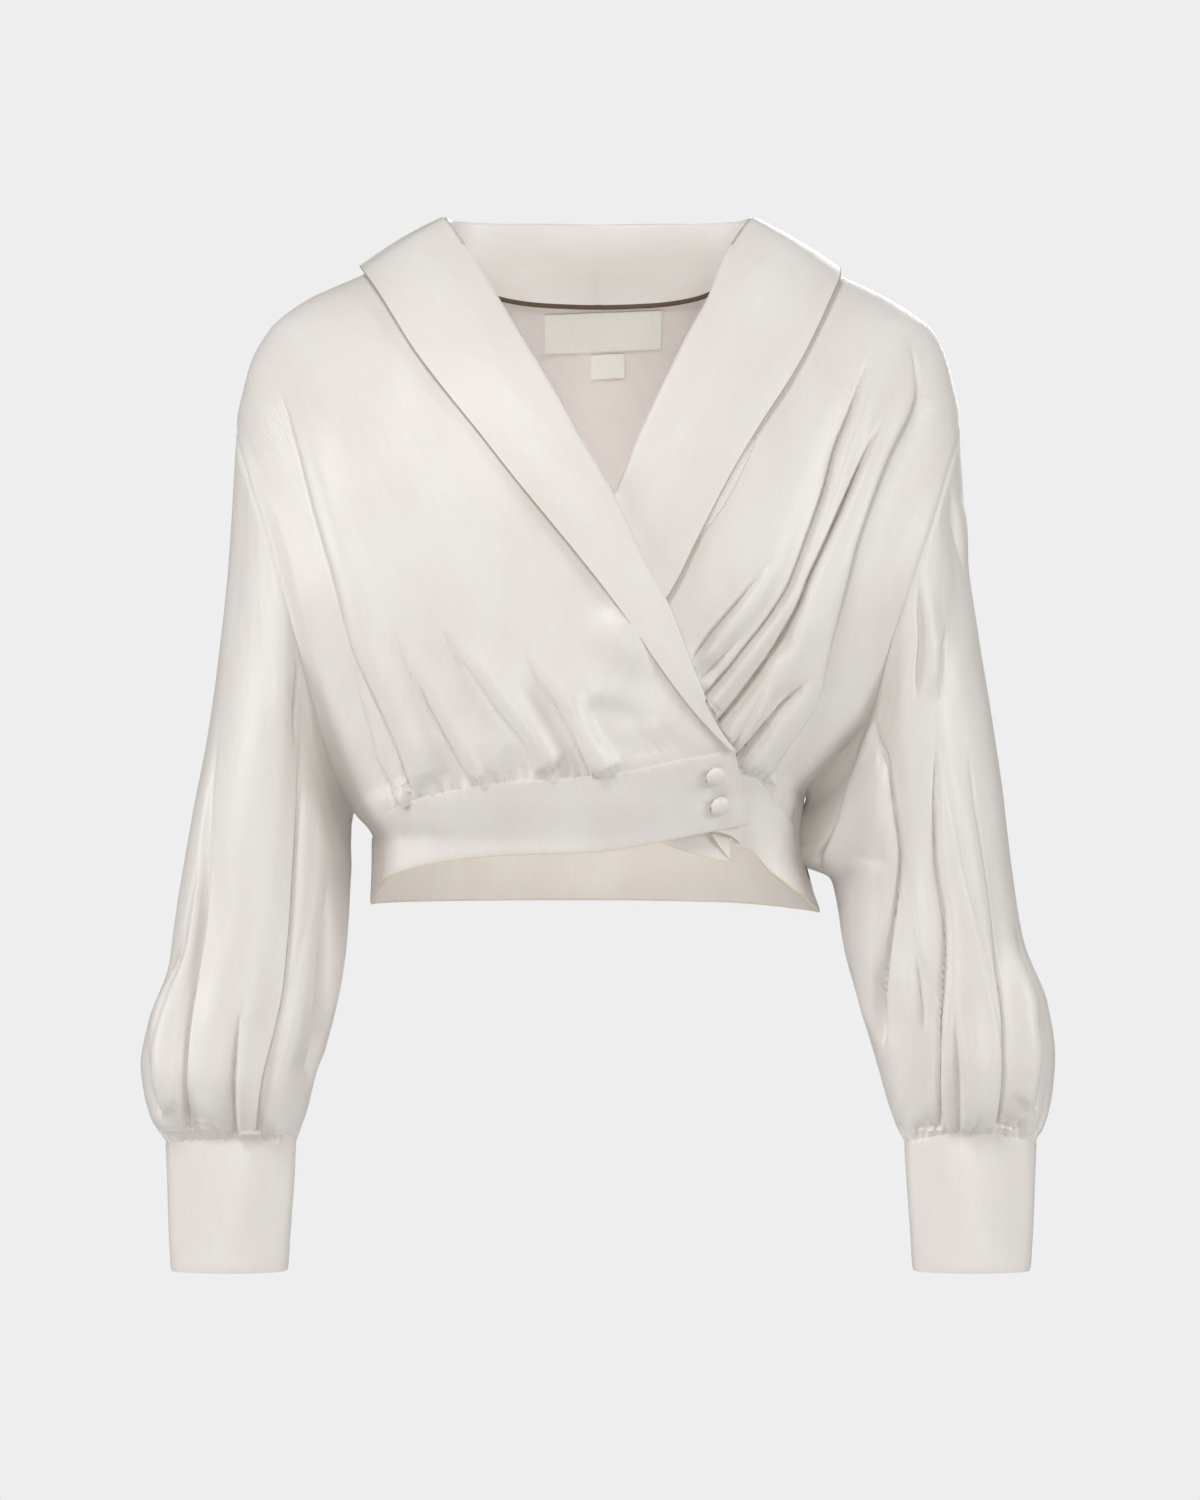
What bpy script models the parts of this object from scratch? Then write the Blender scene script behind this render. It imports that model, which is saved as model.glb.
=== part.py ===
"""A shawl collar blouse, made from the pieces that are cut and sewn.

Every length is in millimetres until cloth() makes a mesh of it in metres.
X runs to the wearer's left, Y to the back and Z up. The origin is midway
between the shoulders at their height, where the wearer carries the blouse.
The body is a hollow form with level sections, each a rounded oval. Panels are
drawn on it in the front view and their depth follows from the sections.
"""
import math
from collections import namedtuple

import bmesh
import bpy
import numpy as np

CLOTH = 1.2
FOLDED_CLOTH = 1.6
SEAM_GAP = 0.3
ROUND = 2.3
PROUD = 0.15
OVERLAP_LIFT = 8.0
COLLAR_LIFT = 1.9
ROLL_LIFT = 1.0
COLLAR_BEND = 1.5
COLLAR_SWELL = 1.6
SHOULDER_CLEAR = 1.8
NECK_GAP = 0.6
BASE_SHARE = 0.28
ARMHOLE_STEPS = 14
SIDE_STEPS = 2
SLEEVE_STEPS_EACH = 2
SHOULDER_STEPS = 7
SLEEVE_START = 4.0
SLEEVE_GATHERS = 14
SLEEVE_GATHER = 1.9
BUTTON_WIDE = 13.0
BUTTON_TALL = 5.0
SHOULDER_POINT = 14.0
ARMHOLE_FULLNESS = 0.7
SLEEVE_FULLNESS = 0.86
SLEEVE_SWING = 0.3
SLEEVE_ROWS = (0, 0.02, 0.12, 0.22, 0.34, 0.46, 0.58, 0.68, 0.77, 0.85, 0.93, 1.0)
CUFF_GATHER_START = 0.62
OVERLAP_SIDE = 55
OVERLAP_TOP = 20
OVERLAP_FADE = 190
FREE_COLUMN = 15
COLLAR_STEP = 22
BUTTON_UPPER = (74.4, -338)
BUTTON_LOWER = (77.2, -357)
BUTTON_STEPS = 14
LABEL_CLEAR = 0.9
LABEL_CLOTH = 0.8
FACING = {"front": -1.0, "back": 1.0}
HAND = {"right": -1.0, "left": 1.0}

Level = namedtuple("Level", "z front back")
FORM = (
    Level(-430, 100, 92), Level(-385, 101, 91), Level(-350, 112, 95), Level(-310, 123, 101),
    Level(-250, 126, 107), Level(-180, 117, 109), Level(-108, 99, 101), Level(-60, 82, 86),
    Level(-35, 69, 73), Level(-18, 57, 62), Level(0, 42, 49), Level(14, 24, 34))

Side = namedtuple("Side", "z x")
SIDE = {
    "right": (
        Side(-425, 150), Side(-380, 149), Side(-364, 161), Side(-352, 168), Side(-327, 176),
        Side(-280, 188), Side(-232, 200), Side(-189, 212), Side(-144, 228), Side(-108, 238),
        Side(-84, 233.5), Side(-65, 228), Side(-45, 216), Side(-35, 205), Side(-25, 190),
        Side(-7, 151), Side(14, 102)),
    "left": (
        Side(-429, 146.5), Side(-388, 134), Side(-353, 137), Side(-340, 146), Side(-322, 161),
        Side(-299, 177), Side(-251, 190), Side(-199, 208), Side(-144, 226.5), Side(-101, 238),
        Side(-84, 235), Side(-65, 230), Side(-45, 220), Side(-35, 208), Side(-25, 192),
        Side(-7, 153), Side(14, 102))}

Armhole = namedtuple("Armhole", "top bottom front back")
ARMHOLE = {"right": Armhole(-108, -364, 76, 70), "left": Armhole(-101, -353, 74, 70)}

Hem = namedtuple("Hem", "x top hem_x hem")
BAND = {
    "right": (
        Hem(-149, -380, -150, -424), Hem(-134, -361, -138, -406), Hem(-107, -351, -111, -396),
        Hem(-62, -343, -64, -390), Hem(1, -338, 1, -387), Hem(65, -326, 70, -375),
        Hem(87, -322, 97, -370)),
    "left": (
        Hem(134, -388, 146.5, -429), Hem(125, -367, 136, -419), Hem(116, -356, 125, -411),
        Hem(104, -343, 110, -399), Hem(92, -334, 96, -386), Hem(45, -334, 45, -382),
        Hem(1, -335, 1, -379), Hem(-82, -330, -84, -377)),
    "back": (
        Hem(-149, -380, -150, -424), Hem(-90, -375, -90, -424), Hem(0, -374, 0, -424),
        Hem(80, -377, 84, -425), Hem(134, -388, 146.5, -429))}

Neck = namedtuple("Neck", "face base_x base_z roll_x roll_y roll_z edge_x edge_z")
NECK = (
    Neck("back", 0, -22, 0, 60, 30, 0, -40), Neck("back", 35, -21, 37, 57, 30, 52, -39),
    Neck("back", 66, -17, 66, 51, 29.5, 98, -33), Neck("back", 90, -5, 88, 38, 29, 132, -20),
    Neck("back", 100, 7, 98, 22, 28.5, 150, -9), Neck("front", 102, 14, 101, 0, 28, 156, -6),
    Neck("front", 101.5, 11, 100, -17, 26, 152, -13), Neck("front", 98, -7.5, 84, -43, 2, 140, -31))

ShoulderEdge = namedtuple("ShoulderEdge", "x z")
SHOULDER_EDGE = {
    "right": (ShoulderEdge(156, -6), ShoulderEdge(152, -13), ShoulderEdge(140, -31)),
    "left": (ShoulderEdge(158, -7), ShoulderEdge(157, -16), ShoulderEdge(150, -33))}

Lapel = namedtuple("Lapel", "roll_x roll_z edge_x edge_z")
LAPEL = {
    "right": (
        Lapel(-62, -35, -118, -66), Lapel(-45, -64, -97, -94), Lapel(-28, -93, -77, -119),
        Lapel(-10, -126, -53, -150), Lapel(9, -159, -30, -178), Lapel(27, -198, -4, -210),
        Lapel(44, -230, 18, -239), Lapel(60, -271, 43, -275), Lapel(68, -290, 56, -292),
        Lapel(77, -308, 68, -306), Lapel(87, -321.5, 80, -318)),
    "left": (
        Lapel(71, -31, 133, -68), Lapel(58, -55, 120, -90), Lapel(47, -78, 108, -108),
        Lapel(28.5, -117, 87, -143), Lapel(11, -160, 65.5, -184), Lapel(-8, -201, 44, -226),
        Lapel(-34, -252, 8, -268), Lapel(-62, -303, -38, -307), Lapel(-82, -329, -74, -325))}

Ring = namedtuple("Ring", "outer_x outer_z inner_x inner_z front back middle")
SLEEVE = {
    "right": (
        Ring(238, -108, 161, -364, 76, 70, 0), Ring(243, -193, 163.5, -374, 78, 71, 0),
        Ring(249, -255, 164, -386, 78, 70, -1), Ring(257, -312, 163.5, -402, 75, 67, -2),
        Ring(266, -362, 164, -424, 71, 62, -3), Ring(273, -410, 166, -451, 67, 58, -4),
        Ring(281, -460, 170.5, -481, 64, 55, -5), Ring(296, -500, 179, -512, 62, 54, -6),
        Ring(301, -528, 186.5, -538, 60, 52, -7), Ring(298, -549, 191, -556, 53, 46, -8),
        Ring(291, -566, 195.5, -569, 42, 37, -9), Ring(284, -579, 199, -579, 27, 27, -10)),
    "left": (
        Ring(238, -101, 137, -353, 74, 70, 0), Ring(243, -190, 140.5, -370, 77, 71, 0),
        Ring(250, -243, 142.5, -388, 77, 70, -1), Ring(258, -293, 149, -399, 75, 67, -2),
        Ring(266, -346, 154, -408, 71, 62, -3), Ring(272, -396, 157.5, -423, 67, 58, -4),
        Ring(280, -446, 162, -452, 64, 55, -5), Ring(296, -488, 171, -485, 62, 54, -6),
        Ring(301, -522, 181, -519, 60, 52, -7), Ring(299, -546, 189, -546, 53, 46, -8),
        Ring(294, -565, 196, -566, 42, 37, -9), Ring(288, -579, 202, -579, 27, 27, -10))}

Cuff = namedtuple("Cuff", "top_x top_half hem_x hem_half top hem deep_top deep_hem front_rise")
CUFF = {
    "right": Cuff(-241.5, 42.5, -242.4, 38, -579, -664, 27, 25, 4),
    "left": Cuff(245, 43, 245.6, 38.3, -579, -664, 27, 25, 8)}
CUFF_MIDDLE = -10

Crease = namedtuple("Crease", "x1 z1 x2 z2 x3 z3 wide deep")
CREASES = {
    "front_right": (
        Crease(-205, -90, -171, -210, -119, -352, 13, 3.2),
        Crease(-131, -245, -106, -296, -81, -344, 9, 2.6),
        Crease(-103, -242, -66, -295, -41, -339, 9, 2.6),
        Crease(-43, -270, -22, -300, -3, -339, 10, 2.4),
        Crease(-159, -266, -145, -332, -128, -360, 9, 2.2)),
    "front_left": (
        Crease(69, -290, 125, -218, 182, -62, 11, 3.2),
        Crease(79, -308, 138, -213, 190, -100, 11, 3.0),
        Crease(93, -328, 112, -304, 134, -278, 9, 2.2),
        Crease(112, -340, 149, -257, 205, -84, 12, 3.2)),
    "back": (
        Crease(-120, -360, -128, -300, -160, -190, 12, 2.8),
        Crease(-70, -370, -74, -310, -88, -230, 11, 2.4),
        Crease(-8, -370, -12, -300, -16, -240, 12, 2.4),
        Crease(52, -372, 60, -300, 74, -215, 11, 2.6),
        Crease(108, -376, 122, -300, 158, -180, 12, 2.8))}

Fold = namedtuple("Fold", "turn1 run1 turn2 run2 wide deep")
SLEEVE_FOLDS = {
    "right": (
        Fold(104, 0.22, 114, 0.92, 15, 3.4), Fold(136, 0.35, 132, 0.80, 13, 2.8),
        Fold(32, 0.22, 48, 0.85, 15, 3.2), Fold(72, 0.55, 76, 0.93, 13, 2.6),
        Fold(248, 0.20, 236, 0.90, 15, 3.2), Fold(292, 0.30, 286, 0.92, 15, 3.0),
        Fold(322, 0.45, 326, 0.88, 13, 2.6)),
    "left": (
        Fold(128, 0.22, 124, 0.90, 14, 3.2), Fold(66, 0.25, 74, 0.92, 15, 3.4),
        Fold(40, 0.35, 34, 0.85, 14, 2.8), Fold(98, 0.60, 92, 0.93, 12, 2.4),
        Fold(244, 0.22, 252, 0.90, 15, 3.2), Fold(284, 0.25, 294, 0.90, 15, 3.0),
        Fold(318, 0.45, 314, 0.88, 13, 2.6))}

Gathers = namedtuple("Gathers", "start end pitch rise")
GATHERS = {
    "front_right": Gathers(-138, -2, 10.0, 1.0), "front_left": Gathers(122, 86, 5.4, 0.8),
    "back": Gathers(-112, 104, 18.0, 1.3)}
GATHER_FADE = 34.0

Turned = namedtuple("Turned", "radius height")
BUTTON_SHAPE = (
    Turned(0, 1), Turned(0.45, 0.93), Turned(0.8, 0.66), Turned(1, 0.3), Turned(0.95, 0.1),
    Turned(0.8, 0))

Finish = namedtuple("Finish", "color roughness")
FINISH = {
    "satin": Finish((0.80, 0.765, 0.715), 0.42), "button_satin": Finish((0.78, 0.74, 0.69), 0.45),
    "label_cloth": Finish((0.86, 0.85, 0.82), 0.6)}


# Curves and small vector helpers

def smooth(t):
    t = np.clip(t, 0, 1)
    return t * t * (3 - 2 * t)


def unit(vectors):
    return vectors / np.maximum(np.linalg.norm(vectors, axis=-1, keepdims=True), 1e-12)


def curve(knots, values, at):
    """Read a smooth curve through the knots that adds no bumps of its own"""
    knots = np.asarray(knots, float)
    values = np.asarray(values, float)
    step = np.diff(knots)
    rise = np.diff(values) / step
    slope = np.zeros_like(values)
    both = rise[:-1] * rise[1:]
    total = np.where(both > 0, rise[:-1] + rise[1:], 1)
    slope[1:-1] = np.where(both > 0, 2 * both / total, 0)
    slope[0] = rise[0]
    slope[-1] = rise[-1]
    at = np.clip(np.asarray(at, float), knots[0], knots[-1])
    i = np.clip(np.searchsorted(knots, at) - 1, 0, len(step) - 1)
    t = (at - knots[i]) / step[i]
    ends = values[i] * (1 + 2 * t) * (1 - t) ** 2 + values[i + 1] * t * t * (3 - 2 * t)
    return ends + step[i] * (slope[i] * t * (1 - t) ** 2 - slope[i + 1] * t * t * (1 - t))


def along(rows, key, column, at):
    """Read a named column of a table at values of another named column"""
    ordered = sorted(rows, key=lambda row: getattr(row, key))
    knots = [getattr(row, key) for row in ordered]
    return curve(knots, [getattr(row, column) for row in ordered], at)


def by_order(rows, column, share):
    """Read a named column where share 0 is the first row and 1 the last"""
    knots = np.linspace(0, 1, len(rows))
    return curve(knots, [getattr(row, column) for row in rows], share)


def walk(points, share):
    """Points at given shares of a line's length"""
    points = np.asarray(points, float)
    steps = np.linalg.norm(np.diff(points, axis=0), axis=1)
    run = np.concatenate([[0], np.cumsum(steps)])
    return np.stack([np.interp(np.asarray(share) * run[-1], run, points[:, k])
                     for k in range(points.shape[1])], -1)


# The body form

def side_x(x, z):
    """Half width of the body at a height, on the side where x lies"""
    right = along(SIDE["right"], "z", "x", z)
    left = along(SIDE["left"], "z", "x", z)
    return np.where(np.asarray(x) < 0, right, left)


def seam_depth(side, face, z):
    """How far in front of or behind the side line the armhole seam lies"""
    hole = ARMHOLE[side]
    t = np.clip((z - hole.bottom) / (hole.top - hole.bottom), 0, 1)
    return getattr(hole, face) * np.sin(math.pi * t) ** ARMHOLE_FULLNESS


def reach(face, x, z):
    """Half width of the oval that passes through the armhole seam at a height"""
    depth = along(FORM, "z", face, z)
    seam = np.where(np.asarray(x) < 0, seam_depth("right", face, z), seam_depth("left", face, z))
    return side_x(x, z) / (1 - (seam / depth) ** ROUND) ** (1 / ROUND)


def lifted(x, z, out):
    """The front of the form moved forward, so that its outline in the front view stays"""
    points = on_form("front", x, z)
    squareness = np.maximum(np.abs(form_normal("front", x, z)[..., 1]), 0.5)
    points[..., 1] -= out / squareness
    return points


def on_form(face, x, z):
    x, z = np.broadcast_arrays(np.asarray(x, float), np.asarray(z, float))
    depth = along(FORM, "z", face, z)
    share = np.clip(1 - (np.abs(x) / reach(face, x, z)) ** ROUND, 0, 1)
    return np.stack([x, FACING[face] * depth * share ** (1 / ROUND), z], -1)


def form_normal(face, x, z):
    """Outward direction of the form, the same on both sides of every seam"""
    p = on_form(face, x, z)
    x, y, z = np.abs(p[..., 0]), np.abs(p[..., 1]), p[..., 2]
    wide = reach(face, p[..., 0], z)
    deep = along(FORM, "z", face, z)
    wider = (reach(face, p[..., 0], z + 1) - reach(face, p[..., 0], z - 1)) / 2
    deeper = (along(FORM, "z", face, z + 1) - along(FORM, "z", face, z - 1)) / 2
    across = np.sign(p[..., 0]) * x ** (ROUND - 1) / wide ** ROUND
    out = FACING[face] * y ** (ROUND - 1) / deep ** ROUND
    up = -x ** ROUND / wide ** (ROUND + 1) * wider - y ** ROUND / deep ** (ROUND + 1) * deeper
    return unit(np.stack([across, out, up], -1))


def overlap(x, z):
    """How far the right front stands off the form, to lie over the left front"""
    from_side = smooth((x + side_x(x, z)) / OVERLAP_SIDE)
    return OVERLAP_LIFT * np.where(x < 0, from_side, 1) * smooth((OVERLAP_TOP - z) / OVERLAP_FADE)


# Sleeves as a family of rings that swing down from the armhole

def seam_point(side, face, turn):
    """A point of the armhole seam, turn 0 at the shoulder and 180 at the underarm"""
    hole = ARMHOLE[side]
    z = hole.top + (hole.bottom - hole.top) * (1 - np.cos(np.radians(turn))) / 2
    x = HAND[side] * along(SIDE[side], "z", "x", z)
    return np.stack([x, FACING[face] * seam_depth(side, face, z), z], -1)


def plain_ring(side, run, turn):
    rows = SLEEVE[side]
    run, turn = np.broadcast_arrays(np.asarray(run, float), np.asarray(turn, float))
    c = np.cos(np.radians(turn))
    s = np.sin(np.radians(turn))
    read = {name: by_order(rows, name, run) for name in Ring._fields}
    near = (1 + c) / 2
    x = read["outer_x"] * near + read["inner_x"] * (1 - near)
    z = read["outer_z"] * near + read["inner_z"] * (1 - near)
    depth = np.where(s > 0, read["front"], read["back"])
    y = read["middle"] - np.sign(s) * depth * np.abs(s) ** SLEEVE_FULLNESS
    rise = CUFF[side].front_rise * np.clip(s, 0, 1) ** 2 * smooth((run - 0.6) / 0.4)
    return np.stack([HAND[side] * x, y, z + rise], -1)


def sleeve_point(side, run, turn):
    """The sleeve's outside: run 0 at the armhole, 1 at the cuff"""
    run, turn = np.broadcast_arrays(np.asarray(run, float), np.asarray(turn, float))
    front = seam_point(side, "front", turn)
    back = seam_point(side, "back", turn)
    seam = np.where((turn % 360 <= 180)[..., None], front, back)
    start = seam - plain_ring(side, np.zeros_like(run), turn)
    return plain_ring(side, run, turn) + start * (1 - smooth(run / SLEEVE_SWING))[..., None]


def sleeve_normal(side, run, turn):
    further = sleeve_point(side, np.clip(run + 0.01, 0, 1), turn)
    ahead = further - sleeve_point(side, np.clip(run - 0.01, 0, 1), turn)
    turn = np.asarray(turn)
    round_it = sleeve_point(side, run, turn + 1.5) - sleeve_point(side, run, turn - 1.5)
    return -HAND[side] * unit(np.cross(ahead, round_it))


def armhole_frame(side, face, turn):
    """Seam points with the direction of the wall there and the way across the seam"""
    seam = seam_point(side, face, turn)
    signed = turn if face == "front" else -turn
    wall = unit(form_normal(face, seam[..., 0], seam[..., 2]) + sleeve_normal(side, 0.0, signed))
    before = seam_point(side, face, np.clip(turn - 2, 0, 180))
    after = seam_point(side, face, np.clip(turn + 2, 0, 180))
    tangent = unit(after - before)
    flat = np.sin(np.radians(turn)) < 0.12
    tangent = np.where(flat[..., None], np.array([0.0, 1.0, 0.0]), tangent)
    across = unit(np.cross(tangent, wall))
    ahead = sleeve_point(side, 0.04, signed) - seam
    across = across * np.sign(np.sum(across * ahead, -1, keepdims=True))
    leaving = unit(ahead - tangent * np.sum(ahead * tangent, -1, keepdims=True))
    return seam, wall, across, leaving


# Meshes

def cloth(name, outside, inside, slot, ring=False):
    """A closed cloth wall from a grid of outside points and one of inside points"""
    outside = np.asarray(outside, float) * 0.001
    inside = np.asarray(inside, float) * 0.001
    if ring:
        outside = np.concatenate([outside, outside[:, :1]], 1)
        inside = np.concatenate([inside, inside[:, :1]], 1)
    rows, columns = outside.shape[:2]
    sheet = bmesh.new()
    bmesh.ops.create_grid(sheet, x_segments=columns - 1, y_segments=rows - 1, size=1)
    place = sheet.verts.layers.int.new("place")
    sheet.verts.ensure_lookup_table()
    for i, vertex in enumerate(sheet.verts):
        vertex[place] = i
        vertex.co = outside[i // columns, i % columns]
    if ring:
        bmesh.ops.remove_doubles(sheet, verts=sheet.verts, dist=1e-6)
    grown = bmesh.ops.extrude_face_region(sheet, geom=list(sheet.faces), use_keep_orig=True)
    for vertex in grown["geom"]:
        if isinstance(vertex, bmesh.types.BMVert):
            i = vertex[place]
            vertex.co = inside[i // columns, i % columns]
    bmesh.ops.recalc_face_normals(sheet, faces=sheet.faces)
    return finish(name, sheet, slot)


def finish(name, sheet, slot):
    mesh = bpy.data.meshes.new(name)
    sheet.to_mesh(mesh)
    sheet.free()
    mesh.shade_smooth()
    mesh.set_sharp_from_angle(angle=math.radians(50))
    mesh.materials.append(material(slot))
    thing = bpy.data.objects.new(name, mesh)
    bpy.data.collections["shawl_collar_blouse"].objects.link(thing)
    return thing


def material(slot):
    if slot in bpy.data.materials:
        return bpy.data.materials[slot]
    made = bpy.data.materials.new(slot)
    made.use_nodes = True
    shader = made.node_tree.nodes["Principled BSDF"]
    shader.inputs["Base Color"].default_value = (*FINISH[slot].color, 1)
    shader.inputs["Roughness"].default_value = FINISH[slot].roughness
    shader.inputs["Metallic"].default_value = 0
    shader.inputs["Sheen Weight"].default_value = 0.3
    return made


# Panels of the body

def blend(bottom, top, start, end, u, v):
    """A grid of points between four edges, each given as a row of points"""
    u = u[None, :, None]
    v = v[:, None, None]
    corners = ((1 - u) * (1 - v) * start[0] + u * (1 - v) * end[0]
               + (1 - u) * v * start[-1] + u * v * end[-1])
    edges = (1 - v) * bottom[None] + v * top[None] + (1 - u) * start[:, None] + u * end[:, None]
    return edges - corners


def armhole_turns():
    return np.linspace(180, 0, ARMHOLE_STEPS + 1)


def side_heights(side):
    """Heights of a panel's rows at its outer edge, from the waist to the shoulder point"""
    hole = ARMHOLE[side]
    waist = BAND[side][0].top
    below = np.linspace(waist, hole.bottom, SIDE_STEPS + 1)[:-1]
    above = hole.top + (hole.bottom - hole.top) * (1 - np.cos(np.radians(armhole_turns()))) / 2
    return np.concatenate([below, above])


def side_edge(side):
    z = side_heights(side)
    return np.stack([HAND[side] * along(SIDE[side], "z", "x", z), z], -1)


def shoulder_knots(side):
    """Corners of the shoulder seam, the same for front and back"""
    z = np.linspace(ARMHOLE[side].top, SHOULDER_POINT, 80)
    line = np.stack([HAND[side] * along(SIDE[side], "z", "x", z), z], -1)
    return walk(line, np.linspace(0, 1, SHOULDER_STEPS + 1))


def base_line(side):
    """The neck edge of a front in the front view, from the shoulder down to the waist"""
    points = [(HAND[side] * row.base_x, row.base_z) for row in NECK if row.face == "front"]
    for row in LAPEL[side]:
        x = row.roll_x + BASE_SHARE * (row.edge_x - row.roll_x)
        z = row.roll_z + BASE_SHARE * (row.edge_z - row.roll_z)
        points.append((x, z))
    return np.array(points, float)


def waist_columns(name, start, end, side_spread):
    """Where columns meet the waist: close at the sides, then one for each rise and fall"""
    g = GATHERS[name]
    heading = np.sign(g.end - g.start)
    count = int(round(abs(g.end - g.start) / g.pitch * 2))
    inside = g.start + heading * abs(g.end - g.start) * np.arange(count + 1) / count
    wobble = g.pitch * 0.09 * np.sin(np.arange(count + 1) * 2.4) * (np.arange(count + 1) % count > 0)
    xs = list(start + heading * np.array(side_spread)) + list(inside + wobble)
    if name == "back":
        xs += list(end - heading * np.array(side_spread[::-1]))
    else:
        more = max(2, int(round(abs(end - xs[-1]) / FREE_COLUMN)))
        xs += list(xs[-1] + (end - xs[-1]) * np.arange(1, more + 1) / more)
    return np.array(xs)


def gather_rise(name, x_waist, height):
    """Gathers stand up from the waist seam on every other column and fade out above"""
    g = GATHERS[name]
    low, high = sorted((g.start, g.end))
    inside = (x_waist > low - 0.5) & (x_waist < high + 0.5)
    order = np.cumsum(inside) - 1
    way = np.where(order % 2 == 0, -0.35, 1.0)
    uneven = 0.75 + 0.3 * np.sin(order * 1.9 + 0.6)
    reach_up = GATHER_FADE * (0.9 + 0.5 * np.sin(order * 1.3))
    return inside * way * uneven * g.rise * (1 - smooth(height / reach_up))


def crease_depth(name, x, z):
    """Depth of the long soft creases at points of the front view"""
    total = np.zeros_like(x)
    for c in CREASES[name]:
        share = np.linspace(0, 1, 25)
        low = (1 - share) ** 2
        mid = 2 * share * (1 - share)
        high = share ** 2
        mx = 2 * c.x2 - (c.x1 + c.x3) / 2
        mz = 2 * c.z2 - (c.z1 + c.z3) / 2
        px = low * c.x1 + mid * mx + high * c.x3
        pz = low * c.z1 + mid * mz + high * c.z3
        away = np.hypot(x[..., None] - px, z[..., None] - pz)
        nearest = np.argmin(away, -1)
        distance = np.take_along_axis(away, nearest[..., None], -1)[..., 0]
        taper = np.sin(math.pi * (0.08 + 0.84 * share[nearest])) ** 0.6
        total = np.maximum(total, c.deep * taper * np.exp(-(distance / c.wide) ** 2))
    return total


def edge_shift(grid, first_row=True, last_row=True, first_column=True, last_column=True):
    """Draw the named edges of a grid in by half of the seam gap"""
    moved = grid.copy()
    half = SEAM_GAP / 2
    if first_row:
        moved[0] += half * unit(grid[1] - grid[0])
    if last_row:
        moved[-1] += half * unit(grid[-2] - grid[-1])
    if first_column:
        moved[:, 0] += half * unit(grid[:, 1] - grid[:, 0])
    if last_column:
        moved[:, -1] += half * unit(grid[:, -2] - grid[:, -1])
    return moved


def set_armhole_edge(side, face, outside, wall, column):
    """Make one column of a panel follow the armhole seam exactly"""
    turns = armhole_turns()
    seam, direction, across, _ = armhole_frame(side, face, turns)
    points = seam - across * SEAM_GAP / 2
    points[0, 1] = FACING[face] * SEAM_GAP / 2
    points[-1, 1] = FACING[face] * SEAM_GAP / 2
    outside[SIDE_STEPS:, column] = points
    wall[SIDE_STEPS:, column] = direction


def panel_surface(name, face, grid_x, grid_z, x_waist, lift):
    """Place a panel's grid on the form, with its creases and gathers"""
    normal = form_normal(face, grid_x, grid_z)
    height = grid_z - grid_z[0]
    from_edge = np.minimum(np.arange(grid_x.shape[1]), 3) / 3
    if face == "back":
        from_edge = np.minimum(from_edge, from_edge[::-1])
    crease = crease_depth(name, grid_x, grid_z) * from_edge
    fold = gather_rise(name, x_waist[None, :], height) - crease
    fold[-2:] = 0
    placed = lifted(grid_x, grid_z, lift) if face == "front" else on_form(face, grid_x, grid_z)
    return placed + normal * fold[..., None], normal


def flatten_side_seam(outside, face, column):
    """Lay a panel's side seam in one plane just off its neighbour's"""
    outside[:SIDE_STEPS, column, 1] = FACING[face] * SEAM_GAP / 2


def front_columns(side):
    return waist_columns(f"front_{side}", BAND[side][0].x, base_line(side)[-1][0], (0, 2.5, 7))


def front(side):
    name = f"front_{side}"
    band = BAND[side]
    x_waist = front_columns(side)
    u = np.abs(x_waist - x_waist[0]) / abs(x_waist[-1] - x_waist[0])
    bottom = np.stack([x_waist, along(band, "x", "top", x_waist)], -1)
    outer = side_edge(side)
    v = (outer[:, 1] - outer[0, 1]) / (outer[-1, 1] - outer[0, 1])
    inner = walk(base_line(side)[::-1], v)
    inner[0] = bottom[-1]
    grid = blend(bottom, walk(shoulder_knots(side), u), outer, inner, u, v)
    x, z = grid[..., 0], grid[..., 1]
    lift = overlap(x, z) if side == "right" else np.zeros_like(x)
    outside, wall = panel_surface(name, "front", x, z, x_waist, lift)
    outside = edge_shift(outside)
    outside[-1, :, 1] = -SEAM_GAP / 2
    outside[-1, :, 0] = grid[-1, :, 0]
    outside[-1, :, 2] = grid[-1, :, 1]
    flatten_side_seam(outside, "front", 0)
    set_armhole_edge(side, "front", outside, wall, 0)
    cloth(name, outside, outside - wall * CLOTH, "satin")
    return outside, wall


def back_columns():
    return waist_columns("back", BAND["back"][0].x, BAND["back"][-1].x, (0, 2.5, 9, 20))


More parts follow.
